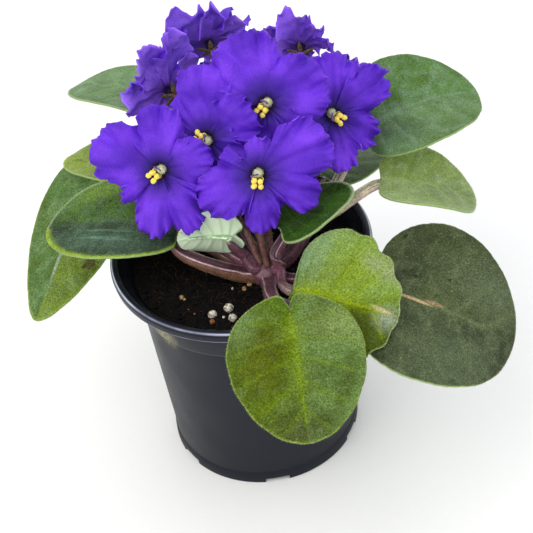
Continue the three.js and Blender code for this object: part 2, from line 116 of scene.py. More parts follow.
def curveThrough(points, count):
    # a centripetal Catmull-Rom curve, cut into even lengths
    ends = [2 * points[0] - points[1], *points, 2 * points[-1] - points[-2]]
    fine = []
    for a, b, c, d in zip(ends, ends[1:], ends[2:], ends[3:]):
        knots = [0.0]
        for p, q in ((a, b), (b, c), (c, d)):
            knots.append(knots[-1] + max((q - p).length, 1e-6) ** 0.5)
        for step in range(curveSteps):
            t = knots[1] + (knots[2] - knots[1]) * step / curveSteps
            ab = a.lerp(b, (t - knots[0]) / (knots[1] - knots[0]))
            bc = b.lerp(c, (t - knots[1]) / (knots[2] - knots[1]))
            cd = c.lerp(d, (t - knots[2]) / (knots[3] - knots[2]))
            left = ab.lerp(bc, (t - knots[0]) / (knots[2] - knots[0]))
            right = bc.lerp(cd, (t - knots[1]) / (knots[3] - knots[1]))
            fine.append(left.lerp(right, (t - knots[1]) / (knots[2] - knots[1])))
    fine.append(points[-1].copy())
    far = np.concatenate([[0], np.cumsum([(q - p).length for p, q in zip(fine, fine[1:])])])
    places = np.linspace(0, far[-1], count)
    return [Vector([np.interp(x, far, [p[k] for p in fine]) for k in range(3)]) for x in places]


def sweepStem(bm, path, section, sides):
    # section(angle, share) gives the radius round the stem; angle 90 degrees is its upper side
    around = bm.verts.layers.float.get("around") or bm.verts.layers.float.new("around")
    along = bm.verts.layers.float.get("along") or bm.verts.layers.float.new("along")
    first = len(bm.verts)
    grid = bmesh.ops.create_grid(bm, x_segments=sides, y_segments=len(path) - 1, size=1)["verts"]
    tangents = [(path[min(i + 1, len(path) - 1)] - path[max(i - 1, 0)]).normalized() for i in range(len(path))]
    for vert in grid:
        turn = math.pi * (1 - vert.co.x)
        share = (vert.co.y + 1) / 2
        i = round(share * (len(path) - 1))
        side = tangents[i].cross(Vector((0, 0, 1)))
        side = side.normalized() if side.length > 0.05 else Vector((1, 0, 0))
        upper = side.cross(tangents[i]).normalized()
        radius = section(turn, share)
        vert[around] = math.sin(turn)
        vert[along] = share
        vert.co = path[i] + radius * (math.cos(turn) * side + math.sin(turn) * upper)
    bm.verts.ensure_lookup_table()
    bmesh.ops.remove_doubles(bm, verts=bm.verts[first:], dist=0.0005)
    bmesh.ops.holes_fill(bm, edges=[edge for edge in bm.edges if edge.is_boundary], sides=0)


def areaOf(bm):
    return sum(face.calc_area() for face in bm.faces)


def scatterOn(faces, count, rng):
    # places and directions spread evenly over the faces
    faces = list(faces)
    picked = rng.choices(faces, weights=[face.calc_area() for face in faces], k=count)
    found = []
    for face in picked:
        a, b, c = (vert.co for vert in face.verts[:3])
        d = face.verts[3].co if len(face.verts) > 3 else c
        u, v = rng.random(), rng.random()
        found.append((a.lerp(b, u).lerp(d.lerp(c, u), v), face.normal.copy()))
    return found


def placePiece(bm, name, materials, stands=()):
    bm.transform(Matrix.Scale(mm, 4) @ Matrix.Translation(potAxis))
    mesh = bpy.data.meshes.new(name)
    bm.to_mesh(mesh)
    bm.free()
    mesh.shade_smooth()
    piece = bpy.data.objects.new(name, mesh)
    scene.collection.objects.link(piece)
    for material in materials:
        mesh.materials.append(material)
    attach(piece, "root")
    if stands:
        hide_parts(*stands)
    return piece


def pourInto(bm, part):
    # a small bmesh joins a large one, because every operator gets slower as its bmesh grows
    carrier = bpy.data.meshes.new("carrier")
    part.to_mesh(carrier)
    bm.from_mesh(carrier)
    bpy.data.meshes.remove(carrier)
    part.clear()


def growHairs(name, roots, hair, material, rng):
    bm, tuft = bmesh.new(), bmesh.new()
    for count, (place, way) in enumerate(roots, 1):
        lean = Vector([rng.gauss(0, hair["lean"]) for _ in range(3)])
        way = (way + lean).normalized()
        length = hair["length"] * rng.uniform(0.6, 1.2)
        stand = Matrix.Translation(place + way * (0.5 * length + hair["lift"]))
        turned = way.to_track_quat("Z", "Y").to_matrix().to_4x4()
        bmesh.ops.create_cone(tuft, cap_ends=True, segments=3, radius1=hair["radius"], radius2=0, depth=length,
                              matrix=stand @ turned)
        if count % tuftSize == 0 or count == len(roots):
            pourInto(bm, tuft)
    tuft.free()
    placePiece(bm, name, [material])


def thicken(piece, thickness, back=0, edge=0):
    # a thin sheet gets its thickness to both sides, with the materials of its back and its cut edge
    shell = piece.modifiers.new("thickness", "SOLIDIFY")
    shell.thickness = thickness * mm
    shell.offset = 0
    shell.material_offset = back
    shell.material_offset_rim = edge


print("helpers ready")


# leaves: the same places as the solid blades, with finer margins, veins and domes between them

leafBuild = {
    "across": 46, "along": 68,  # faces over the blade
    "thickness": 0.9, "teeth": 7, "pillow": 0.5, "rib": 0.5, "wave": 0.8,
    "fineTeeth": 25, "fineTooth": 0.006,  # the small scallops between the large ones
    "spotDepth": 8,
    "hair": {"length": 0.8, "radius": 0.032, "lean": 0.45, "lift": 0.35, "perSquareMm": 1.0, "perRimEdge": 4},
}

leafUsual = {
    "bank": 0, "cup": 2, "lobe": 0.1, "cleft": 0.42, "closes": 0, "ovate": 0.12, "fold": 0,
    "rises": 2.4, "clears": 8, "joins": 2, "stout": 0.1, "thin": 0.15, "flushes": (0.5, 0.1),
    "quilt": 0.25, "tooth": 0.005, "scallops": (0.1, 0.6), "lateral": 1, "zones": (), "marks": (),
    "grain": 1, "shine": 0.14, "glow": 0.25, "paintedSheenShare": 0.35, "marginWidth": 0.7, "slot": "leaf_bright",
}
hiddenLeaf = {"bend": 35, "lobe": 0.14, "quilt": 0.4, "tooth": 0.008, "slot": "leaf_dark"}  # behind the flowers
# the fourth colour is a painted sheen of the leaf hairs
colourNames = ("deep", "left", "right", "paintedSheen", "vein", "margin")

leaves = {
    "front": {
        "base": (15, -71, 134), "tip": (14, -115, 106), "width": 54, "bend": 18, "bank": -2, "cup": -3,
        "lobe": 0.19, "cleft": 0.2, "closes": 0.9, "starts": -90, "stout": 0.5,
        "through": ((9.6, -34, 113), (10.5, -52, 123)), "quilt": 0.7, "tooth": 0.008, "lateral": 0.5,
        "colours": ("#36440a", "#5c743a", "#4e600e", "#6d824e", "#6a8204", "#7c8f42"),
        "zones": (((-0.92, 0.26), (10, 5), 30, "#647c48"), ((-0.6, 0.12), (8, 6), 0, "#456012"),
                  ((-0.4, 0.92), (9, 8), 0, "#434c28"), ((0.8, 0.36), (12, 6), 60, "#75874a"),
                  ((-0.45, 0.5), (11, 7), -20, "#4b5204")),
        "grain": 1.35, "shine": 0.06, "glow": 0.8, "paintedSheenShare": 0.3, "marginWidth": 0.9,
    },
    "frontRight": {
        "base": (18.5, -51, 127.5), "tip": (58, -71, 121), "width": 60, "bend": 42, "bank": 30, "cup": -2,
        "lobe": 0.12, "starts": -50, "rises": 6.6, "through": ((15, -31, 114.5),), "clears": 4, "stout": -0.15,
        "quilt": 1.0, "tooth": 0.045, "scallops": (0.35, 0.65), "lateral": 0.5,
        "colours": ("#4a5a08", "#728c34", "#445206", "#849a66", "#869a04", "#93a36b"),
        # the small pale zone near the tip, at -0.32 and 0.93, is a painted hair sheen
        "zones": (((0.68, 0.28), (17, 10), 10, "#748e68"), ((0.5, 0.58), (13, 9), 0, "#788e28"),
                  ((-0.5, 0.74), (14, 9), 0, "#3a4602"), ((-0.32, 0.93), (5, 4), 0, "#8d9a80"),
                  ((0.8, 0.72), (9, 4), 40, "#8d976b")),
        "marks": (((0.12, 0.9), (5, 1.0), 0, "#b5a77c"),),
        "grain": 1.2, "shine": 0.06, "glow": 0.9, "paintedSheenShare": 0.2, "marginWidth": 0.8,
    },
    "right": {
        "base": (52, -50, 120), "tip": (106, -71, 94), "width": 73, "bend": 46, "bank": 17, "cup": 4,
        "through": ((28, -33, 115), (41, -42, 118)), "starts": -42, "quilt": 0.3, "tooth": 0.003, "lateral": 0.45,
        "colours": ("#262e19", "#414b2b", "#404b2f", "#636e4e", "#6c7850", "#6c774e"),
        "zones": (((0.7, 0.72), (16, 9), 30, "#535e42"), ((-0.65, 0.62), (14, 9), 0, "#4f5a3e"),
                  ((0.75, 0.4), (16, 8), 20, "#343d22")),
        "marks": (((0.0, 0.49), (9, 0.75), -4, "#c4a67c"), ((0.03, 0.61), (4.2, 1.0), 0, "#94795a"),
                  ((0.88, 0.28), (1.5, 0.8), 20, "#16180e"), ((0.28, 0.43), (0.9, 0.8), 0, "#16180e"),
                  ((0.4, 0.58), (1.0, 0.8), 0, "#1d1f12")),
        "grain": 1.35, "glow": 0.2, "paintedSheenShare": 0.45, "marginWidth": 0.6, "slot": "leaf_dark",
    },
    "rightSmall": {
        "base": (67, 6, 133), "tip": (108, -3, 118), "width": 42, "bend": 40, "cup": 4, "paintedSheenShare": 0.5,
        "through": ((27, -9, 120.5), (45, 0, 124)), "starts": 22, "rises": 6.6,
        "colours": ("#6a7d3d", "#7a8d4c", "#859960", "#97a880", "#93a75a", "#a5b578"),
        "zones": (((-0.15, 0.78), (13, 8), 0, "#6c7d56"),),
    },
    "rightBack": {
        "base": (64, 30, 145), "tip": (119, 39, 149), "width": 56, "bend": 50, "bank": 14, "cup": 4,
        "starts": 30, "lateral": 0.55, "glow": 0.3, "paintedSheenShare": 0.4, "marginWidth": 0.6,
        "colours": ("#3f5c1b", "#54763c", "#5c7a48", "#728e72", "#779378", "#728f5b"),
        "zones": (((-0.42, 0.36), (15, 8), -10, "#42593e"),),
    },
    "inner": {
        "base": (18, -17, 132.5), "tip": (51.5, -4, 140), "width": 38, "bend": 12, "bank": -12, "cup": 1,
        "lobe": 0.2, "through": ((14.6, -20.3, 121.5),), "clears": 1.5, "joins": -2.5, "starts": -25, "rises": 6.6,
        "quilt": 0.3, "tooth": 0.006, "shine": 0.05, "glow": 0.15, "paintedSheenShare": 0.25, "marginWidth": 1.5,
        "colours": ("#182c05", "#264507", "#2d5009", "#46632a", "#3f6a12", "#9fae80"), "slot": "leaf_dark",
    },
    "folded": {
        "base": (-2, -13, 130), "tip": (-27, -12, 131), "width": 24, "bend": 30, "bank": 88, "lobe": 0.22,
        "cleft": 0.24, "through": ((1.2, -14, 117.5),), "clears": 1.5, "joins": -3, "slims": (0.36, 0.53),
        "thin": 0.3, "flushes": (0.56, 0.46), "starts": 195, "rises": 6.6, "quilt": 0.3, "tooth": 0.008,
        "colours": ("#24440f", "#3a5e1c", "#33551d", "#7f9a7c", "#6d9142", "#a8c48d"),
        "glow": 0.2, "paintedSheenShare": 0.2, "marginWidth": 0.8, "slot": "leaf_dark",
    },
    "left": {
        "base": (-28, 4, 129), "tip": (-86, 15, 127), "width": 52, "bend": 28, "bank": -5, "lobe": 0.14,
        "starts": 177, "tooth": 0.004, "stout": 0.55, "joins": -4, "lateral": 0.6,
        "through": ((-7.6, -18, 114.3), (-13, -17.2, 117), (-19.2, -15.5, 120), (-27, -9.5, 122.6)),
        "colours": ("#22331f", "#2e422b", "#415e1e", "#5f7a62", "#59714c", "#86a024"), "rim": "#8fa474",
        "zones": (((-0.85, 0.6), (18, 6), 0, "#668236"), ((0.55, 0.6), (18, 4), 3, "#435c48")),
        "marks": (((-0.5, 0.61), (0.8, 0.7), 0, "#101208"), ((0.5, 0.6), (14, 1.1), 4, "#55735f"),
                  ((0.3, 0.62), (15, 0.8), 2, "#506d58")),
        "grain": 1.4, "shine": 0.1, "glow": 0.12, "marginWidth": 2.6, "slot": "leaf_dark",
    },
    "leftHanging": {
        "base": (-61.5, 54, 130.5), "tip": (-100.5, 0, 87), "width": 45, "bend": 3, "bank": -3, "cup": 0,
        "ovate": 0.42, "fold": -0.15, "through": ((-25, 14, 114), (-44, 35, 118.4)), "starts": 149,
        "quilt": 0.3, "tooth": 0.004, "lateral": 0.4, "grain": 1.4, "paintedSheenShare": 0.4, "marginWidth": 0.8,
        "colours": ("#465a10", "#657a1e", "#4c6a34", "#728c5c", "#7e9870", "#7c9341"),
        "marks": (((0.8, 0.6), (3.6, 3.0), 20, "#4b4520"), ((0.74, 0.63), (1.6, 1.2), 0, "#2f2a14"),
                  ((-0.08, 0.76), (11, 0.8), 0, "#8d9b86")),
    },
    "leftSmall": {
        "base": (-47, 46, 129), "tip": (-77, 71, 127), "width": 30, "bend": 30, "starts": 152, "rises": 6.6,
        "colours": ("#66791e", "#82942a", "#7a8f3e", "#8fa178", "#94a740", "#9cae57"),
    },
    "leftBack": {
        "base": (-19, 64, 148), "tip": (-70, 91, 153), "width": 44, "bend": 52, "bank": 8, "cup": 1,
        "lobe": 0.14, "starts": 112, "rises": 6.2, "tooth": 0.004, "glow": 0.2, "paintedSheenShare": 0.45,
        "colours": ("#476438", "#5a7945", "#62824e", "#799773", "#72915d", "#93ab7e"), "slot": "leaf_dark",
    },
    "rear": {
        **hiddenLeaf, "base": (16, 42, 126), "tip": (20, 102, 116), "width": 54, "starts": 90,
        "colours": ("#34482a", "#4a6338", "#50683a", "#748a68", "#71894a", "#7d965c"),
    },
    "rearLeft": {
        **hiddenLeaf, "base": (-16, 42, 119), "tip": (-36, 94, 104), "width": 44, "starts": 120,
        "colours": ("#3a5224", "#526d37", "#5a743c", "#7c9070", "#7a9347", "#849c5e"),
    },
    "rearRight": {
        **hiddenLeaf, "base": (42, 32, 121), "tip": (80, 82, 106), "width": 50, "starts": 60,
        "colours": ("#354c24", "#4c6636", "#486039", "#738769", "#738b49", "#7e965c"),
    },
}
leaves = {name: {**leafUsual, **leaf} for name, leaf in leaves.items()}


def bladeSurface(leaf):
    # returns a function of s, -1 to 1 from edge to edge, and t, 0 to 1 from the stalk to the tip
    build = leafBuild
    base, tip = Vector(leaf["base"]), Vector(leaf["tip"])
    ahead = (tip - base).normalized()
    level = Vector((0, 0, 1)).cross(ahead).normalized()
    left = Matrix.Rotation(math.radians(leaf["bank"]), 3, ahead) @ level
    top = ahead.cross(left).normalized()
    turn = math.radians(leaf["bend"])
    arc = (tip - base).length / (2 * math.sin(turn / 2))
    length = arc * turn
    lobe = leaf["lobe"]

    def surface(s, t, relief=True):
        s, t = np.atleast_1d(s).astype(float), np.atleast_1d(t).astype(float)
        side, reach, phi = np.sign(s), np.abs(s), np.pi * (1 - t)
        fullness = np.sqrt(np.abs(np.sin(phi)))
        heart = bell((phi - np.pi) / leaf["cleft"])
        tooth = leaf["tooth"] * np.cos(2 * build["teeth"] * phi) * fullness
        tooth = tooth * smoothStep(*leaf["scallops"], t)
        if relief:
            tooth = tooth + build["fineTooth"] * np.abs(np.cos(build["fineTeeth"] * phi + side)) * fullness
        u = 0.5 * (1 + lobe) * (1 + np.cos(phi)) - lobe + lobe * heart
        v = 0.5 * np.sin(phi) * (1 - leaf["ovate"] * np.cos(phi) + 0.2 * heart)
        v = v * (1 - leaf["closes"] * bell((phi - np.pi) / 0.45))  # lobes that meet over the stalk
        edgeU, edgeV = 0.45 + (u - 0.45) * (1 + tooth), v * (1 + tooth)
        middleU = t ** 1.9
        u = (middleU + (edgeU - middleU) * reach) * length
        v = side * edgeV * reach * leaf["width"]
        far = np.abs(v) / (leaf["width"] / 2)
        rib = -build["rib"] * bell(reach / 0.2) * fullness
        lateral = np.cos(2 * build["teeth"] * phi)
        if relief:
            # sharp valleys at the veins and full domes between them, which fade towards the margin
            valley = bell((1 - lateral) / 0.35)
            dome = (0.35 - valley) * np.sin(np.pi * np.clip(reach, 0, 1) ** 0.8) * leaf["quilt"] * 1.5
            small = np.cos(2 * build["teeth"] * 3 * phi + 9 * reach) * np.cos(22 * reach + 2 * side)
            pillow = dome + 0.16 * leaf["quilt"] * small * smoothStep(0.1, 0.3, reach) * (1 - reach)
        else:
            pillow = -build["pillow"] * lateral * np.sin(np.pi * reach)
        wave = build["wave"] * reach ** 3 * np.sin(3 * phi + 2 * side) * fullness
        height = leaf["cup"] * far ** 2 + leaf["fold"] * np.abs(v) + rib + pillow * fullness + wave
        slope = np.minimum(turn / 2, turn / 2 - (u / length) * turn)
        back = np.minimum(0, u)
        x = arc * (math.sin(turn / 2) - np.sin(slope)) + back * math.cos(turn / 2)
        z = arc * (np.cos(slope) - math.cos(turn / 2)) + back * math.sin(turn / 2)
        rise = -np.sin(slope)[:, None] * np.array(ahead) + np.cos(slope)[:, None] * np.array(top)
        place = np.array(base) + x[:, None] * np.array(ahead) + z[:, None] * np.array(top)
        place = place + v[:, None] * np.array(left) + height[:, None] * rise
        sideVeins = leaf["lateral"]
        veins = sideVeins * bell((1 - lateral) / 0.12) * smoothStep(1.0, 0.75, reach)
        veins = np.maximum(veins, bell(reach / 0.035))
        glow = np.maximum((1.15 - 0.5 * t) * bell(reach / 0.16),
                          0.75 * sideVeins * bell((1 - lateral) / 0.5) * smoothStep(0.9, 0.1, reach))
        margin = (1 - reach) * np.maximum(edgeV * leaf["width"], 0.6)
        return place, veins, glow, margin

    return surface


def addSpots(tree, leaf, key, colour, place, ragged, soft):
    # lays ragged ellipses on the leaf: each has its s and t, half length and half width in mm, turn and colour
    surface = bladeSurface(leaf)
    for (s, t), (long, wide), turn, code in leaf[key]:
        spot, ahead, beside = (Vector(surface(*at)[0][0]) for at in ((s, t), (s, t + 0.03), (s + 0.06, t)))
        along = (ahead - spot).normalized()
        upright = along.cross(beside - spot).normalized()
        axes = Matrix((along, upright.cross(along), upright)).transposed()
        axes = axes @ Matrix.Rotation(math.radians(turn), 3, "Z")
        local = addNode(tree, "Mapping", {
            "vector_type": "TEXTURE", "Location": (spot + potAxis) * mm, "Rotation": axes.to_euler(),
            "Scale": (long * mm, wide * mm, leafBuild["spotDepth"] * mm), "Vector": place})
        far = addNode(tree, "VectorMath", {"operation": "LENGTH", 0: local}, "Value")
        uneven = addNode(tree, "Math", {"operation": "MULTIPLY_ADD", 0: ragged, 1: 1.2, 2: far})
        colour = layOver(tree, colour, code, uneven, 1.5 + soft, 1.5 - soft, 0.85)
    return colour


def leafTopFinish(name, leaf):
    # living leaf cuticle under fine hairs: soft broad shine, mottled green, a painted sheen and painted glints of
    # the hairs, veins and margin of their own tint
    colours = dict(zip(colourNames, leaf["colours"]))
    grain, glow = leaf["grain"], leaf["glow"]
    material, tree, shader, place = startFinish(name, 0.46, leaf["shine"])
    across, veins, glowing, margin = (
        addNode(tree, "Attribute", {"attribute_name": key}, "Fac")
        for key in ("across", "veins", "glow", "margin"))

    # patches 12 mm wide, and the hairs' mottling, which is drawn at 0.7 mm so that it shows
    patches = addNode(tree, "TexNoise", {"Vector": place, "Scale": 1 / (12 * mm), "Detail": 3.0})
    clouds = addNode(tree, "TexNoise", {"Vector": place, "Scale": 1 / (7 * mm), "Distortion": 0.6})
    flecks = addNode(tree, "TexNoise", {"Vector": place, "Scale": 1 / (2.6 * mm)})
    mottle = addNode(tree, "TexNoise", {"Vector": place, "Scale": 1 / (0.7 * mm), "Detail": 3.0,
                                        "Roughness": 0.75})

    half = addNode(tree, "MapRange", {"interpolation_type": "SMOOTHSTEP", 0: across, 1: -0.12, 2: 0.12})
    colour = addNode(tree, "Mix", {"data_type": "RGBA", 0: half, 6: colours["right"], 7: colours["left"]}, 2)
    colour = layOver(tree, colour, colours["deep"], patches, 0.42, 0.66, 0.75)
    # a painted sheen of the hairs, laid in random clouds
    colour = layOver(tree, colour, colours["paintedSheen"], clouds, 0.45, 0.7, leaf["paintedSheenShare"])
    colour = addSpots(tree, leaf, "zones", colour, place, clouds, 0.8)
    broken = addNode(tree, "MapRange", {0: clouds, 1: 0.35, 2: 0.55, 3: 0.45})
    glowShare = addNode(tree, "Math", {"operation": "MULTIPLY", 0: glowing, 1: 0.8 * glow})
    glowShare = addNode(tree, "Math", {"operation": "MULTIPLY", 0: glowShare, 1: broken})
    veinShare = addNode(tree, "Math", {"operation": "MULTIPLY", 0: veins, 1: 0.3 + 0.4 * glow})
    for share in (glowShare, veinShare):
        colour = addNode(tree, "Mix", {"data_type": "RGBA", 0: share, 6: colour, 7: colours["vein"]}, 2)
    edgeShare = addNode(tree, "MapRange", {
        "interpolation_type": "SMOOTHSTEP", 0: margin, 1: leaf["marginWidth"], 2: 0, 4: 0.9})
    if "rim" in leaf:
        # the broad margin only on the lower half, and a thin pale rim all round
        colour = layOver(tree, colour, leaf["rim"], margin, 1.2, 0.2, 0.7)
        edgeShare = addNode(tree, "Math", {"operation": "MULTIPLY", 0: edgeShare, 1: half})
    colour = addNode(tree, "Mix", {"data_type": "RGBA", 0: edgeShare, 6: colour, 7: colours["margin"]}, 2)
    colour = addSpots(tree, leaf, "marks", colour, place, mottle, 0.22)
    colour = shadeBy(tree, colour, flecks, 0.35, 0.65, 1 - 0.07 * grain, 1 + 0.07 * grain)
    colour = shadeBy(tree, colour, mottle, 0.35, 0.7, 1 - 0.38 * grain, 1 + 0.58 * grain)
    # painted glints of hair tips that catch the light, drawn 0.2 mm wide so that they show
    paintedGlints = addNode(tree, "TexVoronoi", {"Vector": place, "Scale": 1 / (1.6 * mm)})
    colour = layOver(tree, colour, "#cdd2b4", paintedGlints, 0.17, 0.06, 0.2 * grain)

    cells = addNode(tree, "TexVoronoi", {"feature": "SMOOTH_F1", "Vector": place, "Scale": 1 / (1.9 * mm)})
    domes = addNode(tree, "Bump", {"Strength": 0.35, "Distance": 0.25 * mm, "invert": True, "Height": cells})
    bump = addNode(tree, "Bump", {"Strength": 0.5, "Distance": 0.12 * mm, "Height": mottle, "Normal": domes})
    setNode(tree, shader, {"Base Color": colour, "Normal": bump, "Sheen Weight": 0.015, "Sheen Roughness": 0.4})
    return material


def leafUnderFinish():
    # the pale back of the leaf: mint green, with raised veins of a darker green
    material, tree, shader, place = startFinish("violetLeafBack", 0.6, 0.35)
    clouds = addNode(tree, "TexNoise", {"Vector": place, "Scale": 1 / (6 * mm), "Detail": 3.0})
    mottle = addNode(tree, "TexNoise", {"Vector": place, "Scale": 1 / (0.9 * mm)})
    veins = addNode(tree, "Attribute", {"attribute_name": "veins"}, "Fac")
    veinShare = addNode(tree, "Math", {"operation": "MULTIPLY", 0: veins, 1: 0.5})
    colour = addNode(tree, "Mix", {"data_type": "RGBA", 0: clouds, 6: "#c6deba", 7: "#dcecce"}, 2)
    colour = addNode(tree, "Mix", {"data_type": "RGBA", 0: veinShare, 6: colour, 7: "#8fae78"}, 2)
    bump = addNode(tree, "Bump", {"Strength": 0.4, "Distance": 0.15 * mm, "Height": mottle})
    setNode(tree, shader, {"Base Color": colour, "Normal": bump, "Sheen Weight": 0.2})
    return material


def leafMarginFinish():
    # the cut edge of the blade: pale yellow green, a little shiny
    material, tree, shader, place = startFinish("violetLeafMargin", 0.5, 0.4)
    tint = addNode(tree, "TexNoise", {"Vector": place, "Scale": 1 / (1.5 * mm)})
    colour = addNode(tree, "Mix", {"data_type": "RGBA", 0: tint, 6: "#7f9c48", 7: "#a4bc7c"}, 2)
    setNode(tree, shader, {"Base Color": colour})
    return material


def hairFinish(name, code):
    # glassy plant hairs: pale, with a bright narrow shine, and a faint change of tint from hair to hair
    material, tree, shader, place = startFinish(name, 0.35)
    tint = addNode(tree, "TexNoise", {"Vector": place, "Scale": 1 / (5 * mm)})
    colour = addNode(tree, "Mix", {"data_type": "RGBA", 0: tint, 6: code, 7: "#b9c2a0"}, 2)
    setNode(tree, shader, {"Base Color": colour})
    return material


leafBack = leafUnderFinish()
leafEdge = leafMarginFinish()
leafHair = hairFinish("violetLeafHair", "#76824f")


def makeLeaf(name, leaf, rng):
    build = leafBuild
    surface = bladeSurface(leaf)
    bm = bmesh.new()
    bmesh.ops.create_grid(bm, x_segments=build["across"], y_segments=build["along"], size=1)
    layers = {key: bm.verts.layers.float.new(key) for key in ("across", "veins", "glow", "margin")}
    verts = list(bm.verts)
    s = np.array([-vert.co.x for vert in verts])
    t = np.array([(vert.co.y + 1) / 2 for vert in verts])
    place, veins, glow, margin = surface(s, t)
    for i, vert in enumerate(verts):
        vert.co = place[i]
        vert[layers["across"]] = s[i]
        vert[layers["veins"]] = veins[i]
        vert[layers["glow"]] = glow[i]
        vert[layers["margin"]] = margin[i]
    bmesh.ops.remove_doubles(bm, verts=bm.verts, dist=0.001)
    bm.normal_update()

    hair = build["hair"]
    roots = scatterOn(bm.faces, int(areaOf(bm) * hair["perSquareMm"]), rng)
    for edge in (edge for edge in bm.edges if edge.is_boundary):
        face = edge.link_faces[0]
        middle = (edge.verts[0].co + edge.verts[1].co) / 2
        outward = (middle - face.calc_center_median()).normalized()
        for _ in range(hair["perRimEdge"]):
            spot = edge.verts[0].co.lerp(edge.verts[1].co, rng.random())
            roots.append((spot - 0.3 * outward, (outward + face.normal * rng.uniform(-0.2, 0.9)).normalized()))

    top = leafTopFinish("violetLeaf" + name[0].upper() + name[1:], leaf)
    piece = placePiece(bm, "leaf_" + name + "_look", [top, leafBack, leafEdge], ["leaf_" + name])
    thicken(piece, build["thickness"], 1, 2)
    growHairs("hairs_leaf_" + name, roots, hair, leafHair, rng)


for index, (name, leaf) in enumerate(leaves.items()):
    makeLeaf(name, leaf, random.Random(100 + index))
print("leaves done:", len(leaves))


# leaf stalks: fleshy, flat on top between two ridges with a painted highlight, and running on as the rib under the
# blade

crownPiece = {"at": (10, -18, 107), "radius": 7.4, "height": 9, "root": 3, "lump": 0.9, "stalkRing": 4.5}

petioleBuild = {
    "radius": 2.3, "steps": 64, "sides": 24, "flat": 0.26, "ridge": 0.12, "gap": 0.3, "ribEnd": 0.35,
    "hair": {"length": 0.7, "radius": 0.035, "lean": 0.45, "lift": 0.0, "perSquareMm": 0.45},
}

petioleTints = {  # the colours of the top, the sides, the underside and the painted highlight on the ridges
    "plum": ("#4a2b39", "#5f3a48", "#66433f", "#b0939b"),
    "tan": ("#482836", "#684639", "#7c5e42", "#c9b0b4"),
    "grey": ("#7d6660", "#8b7570", "#7c6359", "#b9a9a2"),
    "mint": ("#a3bf99", "#b2cda6", "#bed6b2", "#c6dcb8"),
    "pale": ("#a3a07c", "#bfab98", "#b08d7c", "#d6cfb9"),
}
plumSide = petioleTints["plum"][1]
petioleOf = {"folded": "mint", "left": "tan", "leftHanging": "tan", "frontRight": "grey", "rightBack": "pale",
             "rightSmall": "pale"}


def petioleFinish(name, top, side, under, ridge):
    # juicy stalk skin: streaks along it, a plum flush above, a painted highlight along the ridges, and a low wet
    # shine
    material, tree, shader, place = startFinish(name, 0.42)
    around, along, flush = (
        addNode(tree, "Attribute", {"attribute_name": key}, "Fac") for key in ("around", "along", "flush"))
    specks = addNode(tree, "TexNoise", {"Vector": place, "Scale": 1 / (0.9 * mm)})
    blotches = addNode(tree, "TexNoise", {"Vector": place, "Scale": 1 / (6 * mm)})
    lane = addNode(tree, "CombineXYZ", {"X": around, "Y": along})
    streaks = addNode(tree, "TexNoise", {"Vector": lane, "Scale": 8.0, "Detail": 3.0})
    colour = layOver(tree, side, under, around, 0.05, -0.6)
    colour = layOver(tree, colour, top, around, 0.45, 0.85)
    offRidge = addNode(tree, "Math", {"operation": "SUBTRACT", 0: around, 1: 0.72})
    offRidge = addNode(tree, "Math", {"operation": "ABSOLUTE", 0: offRidge})
    # a painted highlight along the two ridges
    colour = layOver(tree, colour, ridge, offRidge, 0.1, 0.02, 0.55)
    # plum near the crown
    colour = addNode(tree, "Mix", {"data_type": "RGBA", 0: flush, 6: colour, 7: plumSide}, 2)
    colour = shadeBy(tree, colour, specks, 0.35, 0.7, 0.7, 1.5)
    colour = shadeBy(tree, colour, blotches, 0.4, 0.6, 0.85, 1.2)
    colour = shadeBy(tree, colour, streaks, 0.38, 0.62, 0.65, 1.5)
    bump = addNode(tree, "Bump", {"Strength": 0.4, "Distance": 0.1 * mm, "Height": specks})
    setNode(tree, shader, {"Base Color": colour, "Normal": bump})
    return material


petioleFinishes = {}
for tint, codes in petioleTints.items():
    petioleFinishes[tint] = petioleFinish("violetStalk" + tint.title(), *codes)


def petiolePath(leaf):
    surface = bladeSurface(leaf)

    def at(s, t):
        return Vector(surface(s, t, relief=False)[0][0])

    build, crown = petioleBuild, crownPiece
    starts = math.radians(leaf["starts"])
    out = Vector((math.cos(starts), math.sin(starts), 0))
    start = Vector(crown["at"]) + out * crown["stalkRing"]
    start.z = crown["at"][2] + leaf["rises"]
    clear = start + out * leaf["clears"] + Vector((0, 0, 1.5))
    joint = at(0, 0)
    along = (at(0, 0.35) - joint).normalized()
    below = along.cross((at(1, 0.5) - at(-1, 0.5)).normalized()).normalized()
    below = -below if below.z > 0 else below
    folded = 1.4 * max(0, -leaf["fold"])
    seat = build["radius"] * (1 + folded) + leafBuild["thickness"] / 2 + 2 * build["gap"]
    if "through" in leaf:
        passes = [Vector(point) for point in leaf["through"]]
    else:
        passes = [clear.lerp(Vector(leaf["base"]), 0.55) - Vector((0, 0, seat))]
    ends = [joint - leaf["joins"] * along + seat * below]
    for t in (0.2, 0.35, 0.5, 0.65, 0.8, 0.9):  # the rib under the blade, which thins towards the tip
        ends.append(at(0, t) + below * (build["ribEnd"] + (seat - 0.6) * (1 - t) ** 1.2))
    return curveThrough([start, clear, *passes, *ends], build["steps"])


